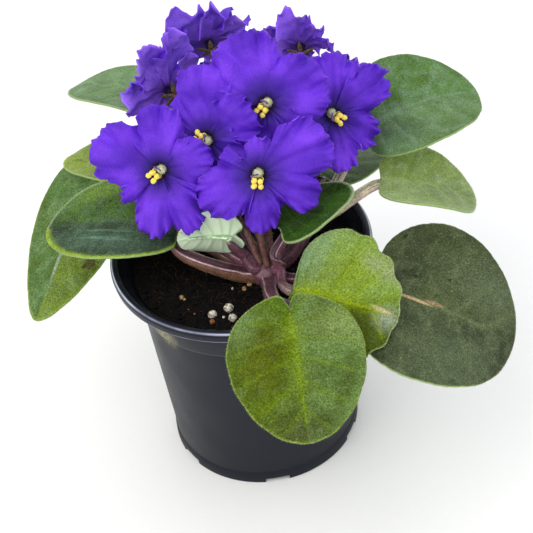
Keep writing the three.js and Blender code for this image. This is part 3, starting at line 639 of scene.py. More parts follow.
def makePetiole(name, leaf, rng):
    build = petioleBuild
    path = petiolePath(leaf)
    far = np.concatenate([[0], np.cumsum([(q - p).length for p, q in zip(path, path[1:])])])
    tipStart = 1 - 0.62 * (Vector(leaf["tip"]) - Vector(leaf["base"])).length / far[-1]

    def section(turn, share):
        swell = 1 + 0.25 * math.exp(-share / 0.08) + leaf["stout"] * math.exp(-(share / 0.4) ** 2)
        slimmed = smoothStep(*leaf.get("slims", (tipStart - 0.12, 1.0)), share)
        taper = 1 - (1 - leaf["thin"]) * float(slimmed)
        angle = (turn - math.pi / 2 + math.pi) % (2 * math.pi) - math.pi
        flat = build["flat"] * math.exp(-(angle / 0.55) ** 2)
        ridge = build["ridge"] * math.exp(-((abs(angle) - 0.77) / 0.17) ** 2)
        return build["radius"] * swell * taper * (1 - flat + ridge)

    bm = bmesh.new()
    sweepStem(bm, path, section, build["sides"])
    bmesh.ops.recalc_face_normals(bm, faces=bm.faces)
    flush, along = bm.verts.layers.float.new("flush"), bm.verts.layers.float["along"]
    if petioleOf.get(name) in ("pale", "grey", "mint"):
        for vert in bm.verts:
            vert[flush] = float(smoothStep(*leaf["flushes"], vert[along]))
    hair = build["hair"]
    roots = scatterOn(bm.faces, int(areaOf(bm) * hair["perSquareMm"]), rng)
    finish = petioleFinishes[petioleOf.get(name, "plum")]
    placePiece(bm, "petiole_" + name + "_look", [finish], ["petiole_" + name])
    growHairs("hairs_petiole_" + name, roots, hair, leafHair, rng)


for index, (name, leaf) in enumerate(leaves.items()):
    makePetiole(name, leaf, random.Random(200 + index))
print("leaf stalks done")


# the crown: a short scarred stem that everything rises from

def makeCrown():
    crown = crownPiece
    bm = bmesh.new()
    bmesh.ops.create_uvsphere(bm, u_segments=40, v_segments=26, radius=1)
    middle = Vector(crown["at"]) + Vector((0, 0, (crown["height"] - crown["root"]) / 2))
    for vert in bm.verts:
        way = vert.co.copy()
        lump = crown["lump"] * noise.noise(way * 2.6) + 0.4 * noise.noise(way * 6)
        wide = (crown["radius"] + lump) * (1 - abs(way.z) ** 3 * 0.25)
        wide = wide / max(0.35, math.hypot(way.x, way.y)) ** 0.4
        vert.co = middle + Vector((way.x * wide, way.y * wide, way.z * (crown["height"] + crown["root"]) / 2))
    placePiece(bm, "crown_look", [petioleFinishes["plum"]], ["crown"])


makeCrown()
print("crown done")


# flowers: five frilled petals each, two yellow anthers, the pale ovary and its purple style

flowerBuild = {
    "across": 60, "along": 18, "thickness": 0.4, "throat": 1.5, "tube": 4.0,
    "arch": 0.3, "overlap": 12, "flank": 0.64,  # flank: how far a petal reaches beside its lobe, as a share
    "ruffle": 2.8, "frill": 2.2, "tooth": 1.5, "crease": 0.5, "pucker": 3.2,
}

# eye is the way in which the anthers lie; a petal has its direction, length and half spread; calm ones frill less
rearPetals = ((90, 20, 28), (30, 20, 28), (150, 20, 28), (-45, 24, 30), (-125, 24, 30))
flowers = {
    "frontLeft": {
        "at": (-29, 1, 160), "faces": (-0.1, -0.85, 0.5), "eye": 215,
        "petals": ((-104, 29, 21), (-66, 30, 20), (8, 23.5, 38), (85, 28, 27), (152, 31, 32)),
    },
    "front": {
        "at": (12, -10, 158), "faces": (-0.1, -0.9, 0.42), "eye": 262,
        "petals": ((-91, 25, 24), (-28, 28, 22), (24, 34, 30), (80, 16, 32), (-158, 28, 30)),
    },
    "centre": {
        "at": (20, 13, 177), "faces": (-0.05, -0.85, 0.5), "eye": 225,
        "petals": ((108, 32.5, 36), (18, 28, 44), (-50, 18, 28), (-95, 18, 26), (-150, 19, 26)),
    },
    "right": {
        "at": (49, 20, 162), "faces": (0.1, -0.85, 0.5), "eye": 315,
        "petals": ((80, 27, 36), (25, 30, 24), (-42, 23, 26), (-88, 26, 22), (165, 15, 28)),
    },
    "middleLeft": {
        "at": (-7, 10, 166), "faces": (-0.4, -0.78, 0.48), "eye": 160,
        "petals": ((99, 32, 33), (38, 26, 32), (-35, 23, 30), (-92, 25, 28), (-150, 15, 24)),
    },
    "upperLeft": {
        "at": (-22, 55, 166), "faces": (-0.55, 0.8, 0.2), "eye": 250, "calm": 0.5,
        "petals": ((101, 32, 24), (66, 31, 22), (12, 25, 28), (-40, 14, 24), (140, 21, 26)),
    },
    "top": {
        "at": (0, 68, 180), "faces": (-0.1, 0.85, 0.5), "eye": 280, "calm": 0.45,
        "petals": ((62, 30.5, 24), (102, 26.5, 24), (145, 23, 26), (-42, 20, 30), (-140, 22, 32)),
    },
    "topRight": {
        "at": (42, 62, 174), "faces": (0.2, 0.9, 0.35), "calm": 0.55,
        "petals": ((82, 23, 24), (126, 16, 22), (30, 20, 26), (-84, 12, 26), (175, 15, 26)),
    },
    "farRight": {
        "at": (63, 59.5, 158), "faces": (0.5, 0.8, 0.2),
        "petals": ((105, 9, 16), (62, 15, 16), (150, 8, 22), (-30, 12, 26), (-110, 12, 26)),
    },
    "lowLeft": {
        "at": (-11, -2, 140), "faces": (-0.2, -0.8, -0.3), "eye": 240,
        "petals": ((-104, 16, 24), (-150, 18, 24), (160, 14, 24), (80, 8, 24), (0, 12, 24)),
    },
    "rearLeft": {"at": (6, 84, 150), "faces": (-0.3, 0.85, 0.3), "petals": rearPetals},
    "rearRight": {"at": (34, 78, 146), "faces": (0.35, 0.85, 0.3), "petals": rearPetals},
}

eyeBuild = {
    "ovaryBack": 1.2, "ovaryHigh": 2.6, "antherHigh": 4.0, "apart": 1.25, "fuzz": 220,
    "hair": {"length": 0.8, "radius": 0.06, "lean": 0.35, "lift": 0.0},
}


def flowerFrame(flower):
    ahead = Vector(flower["faces"]).normalized()
    right = Vector((0, 0, 1)).cross(ahead).normalized()
    turned = Matrix((right, ahead.cross(right), ahead)).transposed().to_4x4()
    return Matrix.Translation(flower["at"]) @ turned


def petalFinish(name, throat, dark, body, light):
    # velvety petal: nearly black in the throat, partly its own dark hairs and partly painted shade of the recess,
    # deep violet beyond it, and painted light patches in random clouds
    material, tree, shader, place = startFinish(name, 0.6, 0.2)
    reach, fan = (addNode(tree, "Attribute", {"attribute_name": key}, "Fac") for key in ("reach", "fan"))
    lane = addNode(tree, "CombineXYZ", {"X": fan, "Y": reach})
    streaks = addNode(tree, "TexNoise", {"Vector": lane, "Scale": 1.0})
    clouds = addNode(tree, "TexNoise", {"Vector": place, "Scale": 1 / (17 * mm), "Detail": 1.0})
    grain = addNode(tree, "TexNoise", {"Vector": place, "Scale": 1 / (0.7 * mm), "Detail": 3.0, "Roughness": 0.7})
    beyond = addNode(tree, "MapRange", {"interpolation_type": "SMOOTHSTEP", 0: reach, 1: 5, 2: 16})
    # painted light patches, in random clouds beyond the throat
    paintedLight = addNode(tree, "MapRange", {0: clouds, 1: 0.38, 2: 0.68, 4: 0.7})
    paintedLight = addNode(tree, "Math", {"operation": "MULTIPLY", 0: paintedLight, 1: beyond})
    # the throat darkens: partly its own dark hairs, partly painted shade of the recess
    colour = layOver(tree, throat, dark, reach, 2.5, 6.5, kind="SMOOTHSTEP")
    for share, tint in ((beyond, body), (paintedLight, light)):
        colour = addNode(tree, "Mix", {"data_type": "RGBA", 0: share, 6: colour, 7: tint}, 2)
    colour = shadeBy(tree, colour, streaks, 0.35, 0.7, 0.95, 1.04)
    colour = shadeBy(tree, colour, grain, 0.3, 0.75, 0.82, 1.3)
    furrows = addNode(tree, "Bump", {"Strength": 0.05, "Distance": 0.2 * mm, "Height": streaks})
    bump = addNode(tree, "Bump", {"Strength": 0.5, "Distance": 0.1 * mm, "Height": grain, "Normal": furrows})
    setNode(tree, shader, {"Base Color": colour, "Normal": bump, "Sheen Weight": 0.08, "Sheen Roughness": 0.3,
                           "Sheen Tint": "#a47cf4"})
    return material


petalFront = petalFinish("violetPetal", "#1e1138", "#361a84", "#5525b6", "#7c3de4")
petalBack = petalFinish("violetPetalBack", "#5e3f98", "#7e52d0", "#9464ec", "#ac82f8")
petalEdge = petalFinish("violetPetalEdge", "#3a168e", "#5720ba", "#7a40da", "#9a6aec")


def skinFinish(name, code, second, roughness, grainSize):
    # soft plant skin in two close tints, with a fine grain of hairs or pollen
    material, tree, shader, place = startFinish(name, roughness, 0.4)
    grain = addNode(tree, "TexNoise", {"Vector": place, "Scale": 1 / (grainSize * mm), "Detail": 3.0})
    bump = addNode(tree, "Bump", {"Strength": 0.5, "Distance": 0.1 * mm, "Height": grain})
    setNode(tree, shader, {"Base Color": layOver(tree, code, second, grain, 0.36, 0.6), "Normal": bump})
    return material


pollenSac = skinFinish("yellowPollenSac", "#eec52a", "#fbea76", 0.5, 0.6)
ovarySkin = skinFinish("paleOvary", "#a4a370", "#d8d5ac", 0.6, 0.7)
ovaryHair = hairFinish("ovaryHair", "#d2d0b6")
styleSkin = skinFinish("purpleStyle", "#4a2a7c", "#6a4a9a", 0.45, 0.8)
sepalSkin = skinFinish("brownSepal", "#4c3a2a", "#7a6a44", 0.6, 1.2)
hairyStalk = skinFinish("plumFlowerStalk", "#54302f", "#785048", 0.55, 1.5)


def petalLimits(petals, overlap):
    # where each petal starts and ends round the flower, in degrees: neighbours lap over each other a little
    lobes = sorted(petals)
    limits = []
    for i, (angle, length, spread) in enumerate(lobes):
        last = lobes[i - 1][0] - (360 if i == 0 else 0) + lobes[i - 1][2]
        following = lobes[(i + 1) % len(lobes)]
        ahead = following[0] + (360 if i == len(lobes) - 1 else 0) - following[2]
        limits.append((angle, length, spread, (angle - spread + last) / 2 - overlap,
                       (angle + spread + ahead) / 2 + overlap))
    return limits


def addPetal(bm, frameMatrix, limits, order, seed, calm):
    build = flowerBuild
    angle, length, spread, right, left = limits
    grid = bmesh.ops.create_grid(bm, x_segments=build["across"], y_segments=build["along"], size=1)["verts"]
    x = np.array([vert.co.x for vert in grid])
    t = ((np.array([vert.co.y for vert in grid]) + 1) / 2) ** 0.8
    turn = np.where(x < 0, angle + x * (angle - right), angle + x * (left - angle))
    lobe = (turn - angle) / spread  # 1 and -1 are the sides of the lobe, and beyond them the petal is short
    arc = np.radians(turn - angle) * length
    phase = 1.7 * order + seed
    full = 1 - 0.2 * np.minimum(1, np.abs(lobe)) ** 3
    full = full + (build["flank"] - full) * smoothStep(0.85, 1.4, np.abs(lobe))
    tooth = 0.8 * (1 - np.abs(np.sin(0.62 * arc + phase))) + 0.45 * (1 - np.abs(np.sin(1.5 * arc + 2 * phase)))
    uneven = np.array([noise.noise(Vector((0.12 * a, seed, 3 * order))) for a in arc])
    uneven = calm * np.clip(0.85 + 1.3 * uneven, 0.2, 1.8)  # the frill comes and goes along the edge
    reach = length * full + build["tooth"] * uneven * (tooth - 0.6) * smoothStep(0.6, 1, t)
    r = build["throat"] + (reach - build["throat"]) * t
    ruffle = np.sin(0.42 * arc + phase) + 0.5 * np.sin(0.75 * arc + 2.2 * phase)
    frill = np.sin(0.95 * arc + phase) + 0.7 * np.sin(1.9 * arc + 1.3 * phase)
    rise = build["arch"] * length * t * (1 - 0.95 * t)
    rise = rise + build["ruffle"] * ruffle * t ** 4 * length / 28 + build["frill"] * uneven * frill * t ** 10
    rise = rise - build["crease"] * bell(x / 0.14) * np.sin(np.pi * t ** 0.8)
    rise = rise + 1.4 * np.clip(lobe, -1.3, 1.3) * t - 0.05 * length * lobe ** 2 * t ** 2 * (np.abs(lobe) < 1.6)
    turnRad = np.radians(turn)
    reachLayer, fanLayer = bm.verts.layers.float["reach"], bm.verts.layers.float["fan"]
    for i, vert in enumerate(grid):
        vert[reachLayer] = r[i]
        vert[fanLayer] = arc[i] * 1.3 + 31 * order
        flat = Vector((r[i] * math.cos(turnRad[i]), r[i] * math.sin(turnRad[i]), 0))
        pucker = noise.noise(flat * 0.1 + Vector((seed, 5 * order, 0)))
        pucker += 0.3 * noise.noise(flat * 0.27 + Vector((seed, 5 * order, 3)))
        flat.z = rise[i] + build["pucker"] * pucker * min(1, r[i] / 12)
        vert.co = frameMatrix @ flat


def makeFlower(name, flower, seed):
    build = flowerBuild
    place = flowerFrame(flower)
    bm = bmesh.new()
    bm.verts.layers.float.new("reach")
    bm.verts.layers.float.new("fan")
    for order, limits in enumerate(petalLimits(flower["petals"], build["overlap"])):
        addPetal(bm, place, limits, order, seed, flower.get("calm", 1))
    bmesh.ops.reverse_faces(bm, faces=bm.faces)
    tube = place @ Matrix.Translation((0, 0, -build["tube"] / 2))
    bmesh.ops.create_cone(bm, cap_ends=False, segments=24, radius1=1.5, radius2=2.0, depth=build["tube"],
                          matrix=tube)
    piece = placePiece(bm, "corolla_" + name + "_look", [petalFront, petalBack, petalEdge],
                       ["corolla_" + name])
    thicken(piece, build["thickness"], 1, 2)


def makeEye(name, flower, rng):
    build = eyeBuild
    way = math.radians(flower.get("eye", 268))
    place = flowerFrame(flower) @ Matrix.Rotation(way + math.pi / 2, 4, "Z")  # the anthers lie towards minus y
    bm = bmesh.new()

    def addBall(centre, radii, tilt, part):
        stand = place @ Matrix.Translation(centre) @ Matrix.Rotation(math.radians(tilt), 4, "Z")
        shape = stand @ Matrix.Diagonal((*radii, 1))
        verts = bmesh.ops.create_uvsphere(bm, u_segments=16, v_segments=10, radius=1, matrix=shape)["verts"]
        for vert in verts:
            vert.co += 0.12 * noise.noise_vector(vert.co * 0.8)
        for vert in verts:
            for face in vert.link_faces:
                face.material_index = part

    addBall((0, build["ovaryBack"], build["ovaryHigh"]), (2.0, 1.9, 2.3), 0, 1)
    # a sphere's faces come in another order each run, so they are sorted by their middles
    ball = sorted(bm.faces, key=lambda face: face.calc_center_median()[:])
    fuzz = scatterOn(ball, build["fuzz"], rng)
    for side in (-1, 1):  # two anthers of two pollen sacs each, which never sit quite alike
        lean = rng.uniform(-0.5, 0.5)
        for row, forward in ((0, -2.0), (1, -4.3)):
            centre = (side * (build["apart"] + 0.25 * row) + rng.uniform(-0.2, 0.2), forward + lean,
                      build["antherHigh"] - 0.5 * row + rng.uniform(-0.2, 0.2))
            addBall(centre, (1.2, rng.uniform(1.25, 1.55), 1.15), side * rng.uniform(10, 45), 0)
    for side in (-1, 1):
        path = [place @ Vector((side * out, ahead, high))
                for out, ahead, high in ((0.9, -0.6, 0), (2.2, -1.4, 2), (1.5, -2.2, 4))]
        sweepStem(bm, curveThrough(path, 8), lambda turn, share: 0.4, 8)
    known = len(bm.faces)
    style = [place @ Vector(p) for p in ((0.2, 1, 4.6), (-1.1, 0.9, 5.8), (-2.9, 0.1, 6.4))]
    sweepStem(bm, curveThrough(style, 8), lambda turn, share: 0.32 + 0.2 * (share > 0.85), 8)
    bm.faces.ensure_lookup_table()
    for face in bm.faces[known:]:
        face.material_index = 2
    bmesh.ops.recalc_face_normals(bm, faces=bm.faces)
    placePiece(bm, "anthers_" + name + "_look", [pollenSac, ovarySkin, styleSkin], ["anthers_" + name])
    growHairs("hairs_eye_" + name, fuzz, build["hair"], ovaryHair, rng)


for index, (name, flower) in enumerate(flowers.items()):
    makeFlower(name, flower, index * 0.83)
    makeEye(name, flower, random.Random(250 + index))
print("flowers done:", len(flowers))


# flower stalks: each forks into pedicels, which end in a calyx of five sepals

stalkBuild = {
    "radius": 1.4, "pedicel": 0.85, "tube": 4.0, "sepal": 6.2, "sepalWidth": 2.1, "sepalThick": 0.5,
    "hair": {"length": 0.9, "radius": 0.035, "lean": 0.45, "lift": 0.0, "perSquareMm": 1.0},
}

sprays = {
    "left": {"foot": (-2.5, -0.3), "by": (2, -8, 132), "fork": (-14, 26, 142),
             "flowers": ("frontLeft", "upperLeft", "lowLeft")},
    "middle": {"foot": (-0.6, 2.7), "by": (7, -2, 132), "fork": (4, 36, 148),
               "flowers": ("middleLeft", "top", "rearLeft")},
    "centre": {"foot": (0.3, -2.6), "by": (9, -11, 134), "fork": (14, 16, 148),
               "flowers": ("front", "centre")},
    "right": {"foot": (2.7, 0.8), "by": (15, 2, 130), "fork": (36, 40, 144),
              "flowers": ("right", "topRight", "farRight", "rearRight")},
}


def addSepal(bm, place, turn):
    build = stalkBuild
    grid = bmesh.ops.create_grid(bm, x_segments=6, y_segments=10, size=1)["verts"]
    spin = place @ Matrix.Rotation(turn, 4, "Z")
    for vert in grid:
        x, t = vert.co.x, (vert.co.y + 1) / 2
        wide = build["sepalWidth"] * 0.5 * math.sin(math.pi * (0.12 + 0.88 * t)) ** 0.7 if t < 1 else 0.0
        depth = -build["tube"] - 0.9 + 1.6 * t ** 1.5 + 0.5 * (x * x) * (1 - t)
        vert.co = spin @ Vector((0.7 + build["sepal"] * t, -x * wide, depth))


def makeSpray(name, spray, rng):
    build = stalkBuild
    foot = Vector(crownPiece["at"]) + Vector((*spray["foot"], crownPiece["height"] - 1))
    fork = Vector(spray["fork"])
    bm = bmesh.new()
    sweepStem(bm, curveThrough([foot, Vector(spray["by"]), fork], 40),
              lambda turn, share: build["radius"] * (1.05 - 0.2 * share), 14)
    for flower in spray["flowers"]:
        place = flowerFrame(flowers[flower])
        behind = [place @ Vector((0, 0, -deep)) for deep in (13, 10, build["tube"] + 0.4)]
        path = [fork, fork.lerp(behind[0], 0.6), *behind[1:]]
        sweepStem(bm, curveThrough(path, 26),
                  lambda turn, share: build["pedicel"] * (1 + 0.5 * float(smoothStep(0.85, 1, share))), 12)
    bmesh.ops.recalc_face_normals(bm, faces=bm.faces)
    hair = build["hair"]
    roots = scatterOn(bm.faces, int(areaOf(bm) * hair["perSquareMm"]), rng)
    placePiece(bm, "stalk_" + name + "_look", [hairyStalk], ["stalk_" + name])
    growHairs("hairs_stalk_" + name, roots, hair, leafHair, rng)

    bm = bmesh.new()
    for flower in spray["flowers"]:
        for k in range(5):
            addSepal(bm, flowerFrame(flowers[flower]), math.radians(72 * k + 18))
    bmesh.ops.remove_doubles(bm, verts=bm.verts, dist=0.01)
    thicken(placePiece(bm, "sepals_" + name, [sepalSkin]), build["sepalThick"])


for index, (name, spray) in enumerate(sprays.items()):
    makeSpray(name, spray, random.Random(300 + index))
print("flower stalks done:", len(sprays))


# soil: loose dark peat with crumbs and fibres, and a few grains of perlite

soilBuild = {
    "top": 107, "edge": 50.9, "collar": 98, "collarRadius": 48.7, "foot": 44.6, "floor": 5.3, "bend": 8.3,
    "cells": 150, "crumbs": 520, "crumbSize": (0.35, 1.3), "fibres": 210, "fibreLength": (2, 7),
    "fibreRadius": 0.13,
}
perlite = ((-16.8, -36.6, 2.0), (-9.4, -34.7, 2.1), (-8.2, -41.9, 1.9), (-12.1, -38.8, 0.7), (-6.5, -22, 0.6),
           (-20, 30, 1.8), (8, 44, 1.5), (32, 28, 1.9), (44, 4, 1.4), (34, -20, 1.6))
peatGrains = (("orange", "#a0603a", ((-17.2, -41.0, 1.2), (22, 38, 1.0), (-24.5, -34, 0.5), (-27, -31, 0.4))),
              ("tan", "#b89a66", ((-29.4, -22.8, 1.1), (1.2, -20.5, 1.2), (-1.4, -23, 1.1), (-28.3, -24.2, 0.7),
                                  (30, -34, 0.9), (-40, 12, 0.9))))


def soilFinish(name, dark, light, grainSize):
    # damp peat: nearly black crumbs with brown lights, quite dull
    material, tree, shader, place = startFinish(name, 0.9, 0.12)
    specks = addNode(tree, "TexNoise", {"Vector": place, "Scale": 1 / (0.6 * mm), "Detail": 4.0, "Roughness": 0.7})
    cells = addNode(tree, "TexVoronoi", {"Vector": place, "Scale": 1 / (grainSize * mm)})
    crumbs = addNode(tree, "Bump", {"Strength": 0.8, "Distance": 0.6 * mm, "invert": True, "Height": cells})
    bump = addNode(tree, "Bump", {"Strength": 0.7, "Distance": 0.25 * mm, "Height": specks, "Normal": crumbs})
    setNode(tree, shader, {"Base Color": layOver(tree, dark, light, specks, 0.52, 0.82), "Normal": bump})
    return material


def soilHeight(x, y):
    build = soilBuild
    rim = build["edge"] - math.hypot(x, y)
    lumps = 0
    for layer, (fine, high) in enumerate(((0.07, 1.1), (0.25, 0.6), (0.7, 0.7), (1.7, 0.35)), 1):
        lumps += noise.noise(Vector((x * fine, y * fine, layer))) * high
    return build["top"] + lumps * float(smoothStep(0, 4, rim)) - 0.4


def spotOnSoil(rng, share):
    # an even scatter, out to that share of the soil's radius
    far, turn = soilBuild["edge"] * math.sqrt(rng.random()) * share, rng.uniform(0, 2 * math.pi)
    return far * math.cos(turn), far * math.sin(turn)


def makeSoil(rng):
    build = soilBuild
    peat = soilFinish("dampPeat", "#040404", "#3a2d29", 1.6)
    bm = bmesh.new()
    cells = build["cells"]
    grid = bmesh.ops.create_grid(bm, x_segments=cells, y_segments=cells, size=1)["verts"]
    for vert in grid:  # a square opened out to a disc
        x, y = vert.co.x, vert.co.y
        x, y = x * math.sqrt(1 - y * y / 2) * build["edge"], y * math.sqrt(1 - x * x / 2) * build["edge"]
        vert.co = (x, y, soilHeight(x, y))
    ring = [edge for edge in bm.edges if edge.is_boundary]
    for radius, height in ((build["collarRadius"], build["collar"]), (build["foot"], build["bend"]),
                           (build["foot"] - 3, build["floor"])):
        grown = bmesh.ops.extrude_edge_only(bm, edges=ring)["geom"]
        for vert in (part for part in grown if isinstance(part, bmesh.types.BMVert)):
            flat = vert.co.xy.normalized() * radius
            vert.co = (flat.x, flat.y, height)
        ring = [part for part in grown if isinstance(part, bmesh.types.BMEdge) and part.is_boundary]
    bmesh.ops.holes_fill(bm, edges=ring, sides=0)
    bmesh.ops.recalc_face_normals(bm, faces=bm.faces)
    heap = bmesh.new()
    for _ in range(build["crumbs"]):
        x, y = spotOnSoil(rng, 0.97)
        size = rng.uniform(*build["crumbSize"]) ** 1.2
        lie = (Matrix.Translation((x, y, soilHeight(x, y) + 0.2 * size))
               @ Matrix.Rotation(rng.uniform(0, 6), 4, (rng.random(), rng.random(), 0.5))
               @ Matrix.Diagonal((size, size * rng.uniform(0.6, 1), size * rng.uniform(0.5, 0.8), 1)))
        crumb = bmesh.ops.create_icosphere(heap, subdivisions=2, radius=1, matrix=lie)["verts"]
        for vert in crumb:
            vert.co += 0.25 * size * noise.noise_vector(vert.co * 1.3)
        if len(heap.verts) > 1000:
            pourInto(bm, heap)
    pourInto(bm, heap)
    placePiece(bm, "soil_look", [peat], ["soil"])

    bm, inside = bmesh.new(), build["edge"] - 0.8
    for _ in range(build["fibres"]):
        here = Vector((*spotOnSoil(rng, 0.93), 0))
        way, length = rng.uniform(0, 2 * math.pi), rng.uniform(*build["fibreLength"])
        points = []
        for k in range(4):
            step = here + Vector((math.cos(way), math.sin(way), 0)) * length * k / 3
            if step.xy.length > inside:
                step.xy = step.xy.normalized() * inside
            step.z = soilHeight(step.x, step.y) + (0.2, 0.7, 0.8, 0.2)[k]
            points.append(step)
            way += rng.uniform(-0.7, 0.7)
        if (points[0] - points[-1]).length > 0.8:
            sweepStem(heap, curveThrough(points, 7), lambda turn, share: build["fibreRadius"], 5)
            bmesh.ops.recalc_face_normals(heap, faces=heap.faces)
            pourInto(bm, heap)
    heap.free()
    placePiece(bm, "peat_fibres", [soilFinish("rootFibre", "#2c2018", "#86684a", 0.8)])


def makeGrains(name, finish, grains, rng):
    bm = bmesh.new()
    for x, y, radius in grains:
        lie = Matrix.Translation((x, y, soilHeight(x, y) + 0.45 * radius))
        lie = lie @ Matrix.Rotation(rng.uniform(0, 6), 4, "Z")
        for vert in bmesh.ops.create_icosphere(bm, subdivisions=3, radius=radius, matrix=lie)["verts"]:
            lump = noise.noise_vector(vert.co * 0.9) * 0.15 + noise.noise_vector(vert.co * 2.4) * 0.1
            vert.co += lump * radius
    placePiece(bm, name, [finish])


makeSoil(random.Random(400))
makeGrains("perlite", skinFinish("perliteGrain", "#5d564a", "#e4dcc8", 0.85, 1.1), perlite, random.Random(401))
for tint, code, grains in peatGrains:
    chips = skinFinish(tint + "BarkChip", code, "#6a4526", 0.8, 0.8)
    makeGrains(tint + "_grains", chips, grains, random.Random(402))
print("soil done")


# pot: a round black nursery pot, moulded in polypropylene

potBuild = {
    "rim": 60, "height": 115, "lip": 4, "skirt": 5, "wall": 1.6, "collar": 98, "body": 50, "bottom": 46.5,
    "foot": 47.4, "footHeight": 6, "notches": 6, "notchWidth": 12, "notchHeight": 2.8,
    "floorLow": 3, "floorHigh": 5, "drains": 6, "drainRadius": 4, "drainRing": 26, "steps": 180,
    "ledge": 92.5, "splash": (-40.4, -33, 95), "splashSize": 7,
}


def potFinish():
    # satin black polypropylene: faint turning rings, a fine moulded grain, dust, a dried splash and painted
    # highlight lines on the edges
    build = potBuild
    material, tree, shader, place = startFinish("blackPolypropylene", 0.42, 0.3)
    centred = addNode(tree, "Mapping", {"Location": -potAxis * mm, "Vector": place})
    grain = addNode(tree, "TexNoise", {"Vector": place, "Scale": 1 / (0.7 * mm)})
    clouds = addNode(tree, "TexNoise", {"Vector": place, "Scale": 1 / (18 * mm), "Detail": 3.0})
    dust = addNode(tree, "TexNoise", {"Vector": place, "Scale": 1 / (1.6 * mm), "Detail": 3.0, "Roughness": 0.65})
    rings = addNode(tree, "TexWave", {"wave_type": "BANDS", "bands_direction": "Z", "Scale": 1 / (8 * mm),
                                      "Distortion": 0.4, "Vector": centred}, "Fac")
    colour = addNode(tree, "Mix", {"data_type": "RGBA", 0: clouds, 6: "#0c0d11", 7: "#15171d"}, 2)
    colour = layOver(tree, colour, "#6b655c", dust, 0.64, 0.82, 0.18)

    # a dried green splash under the lip
    splash = addNode(tree, "Mapping", {
        "vector_type": "TEXTURE", "Location": (Vector(build["splash"]) + potAxis) * mm,
        "Scale": [build["splashSize"] * mm] * 3, "Vector": place})
    far = addNode(tree, "VectorMath", {"operation": "LENGTH", 0: splash}, "Value")
    near = addNode(tree, "MapRange", {0: far, 1: 1.3, 2: 0.5})
    crust = addNode(tree, "MapRange", {0: dust, 1: 0.38, 2: 0.58, 3: 0.15})
    share = addNode(tree, "Math", {"operation": "MULTIPLY", 0: near, 1: crust})
    colour = addNode(tree, "Mix", {"data_type": "RGBA", 0: share, 6: colour, 7: "#84805a"}, 2)

    # painted highlight lines on the edges of the lip, the skirt and the ledge, each a ring where one measure
    # passes another, broken by a noise
    height = addNode(tree, "SeparateXYZ", {0: place}, "Z")
    flat = addNode(tree, "VectorMath", {"operation": "MULTIPLY", 0: centred, 1: (1, 1, 0)})
    radius = addNode(tree, "VectorMath", {"operation": "LENGTH", 0: flat}, "Value")
    lineBreaks = addNode(tree, "MapRange", {0: clouds, 1: 0.35, 2: 0.55, 3: 0.35})
    for source, at, wide, gate, gateAt, most in (
            (radius, 59.2, 0.5, height, 113.5, 0.9), (height, 110.4, 0.5, radius, 58.4, 0.8),
            (height, build["ledge"] + 0.15, 0.45, radius, 50, 0.3)):
        far = addNode(tree, "Math", {"operation": "SUBTRACT", 0: source, 1: at * mm})
        far = addNode(tree, "Math", {"operation": "ABSOLUTE", 0: far})
        near = addNode(tree, "MapRange", {0: far, 1: wide * mm, 2: 0.3 * wide * mm, 4: most})
        past = addNode(tree, "Math", {"operation": "GREATER_THAN", 0: gate, 1: gateAt * mm})
        line = addNode(tree, "Math", {"operation": "MULTIPLY", 0: near, 1: past})
        line = addNode(tree, "Math", {"operation": "MULTIPLY", 0: line, 1: lineBreaks})
        colour = addNode(tree, "Mix", {"data_type": "RGBA", 0: line, 6: colour, 7: "#b4b9d0"}, 2)

    dull = addNode(tree, "MapRange", {0: clouds, 1: 0.3, 2: 0.7, 3: 0.38, 4: 0.5})
    rubbed = addNode(tree, "MapRange", {0: height, 1: 112 * mm, 2: 114 * mm, 3: 1.0, 4: 0.55})
    roughness = addNode(tree, "Math", {"operation": "MULTIPLY", 0: dull, 1: rubbed})
    turned = addNode(tree, "Bump", {"Strength": 0.12, "Distance": 0.05 * mm, "Height": rings})
    bump = addNode(tree, "Bump", {"Strength": 0.22, "Distance": 0.05 * mm, "Height": grain, "Normal": turned})
    setNode(tree, shader, {"Base Color": colour, "Roughness": roughness, "Normal": bump,
                           "Specular Tint": "#dfe4ff"})
    return material


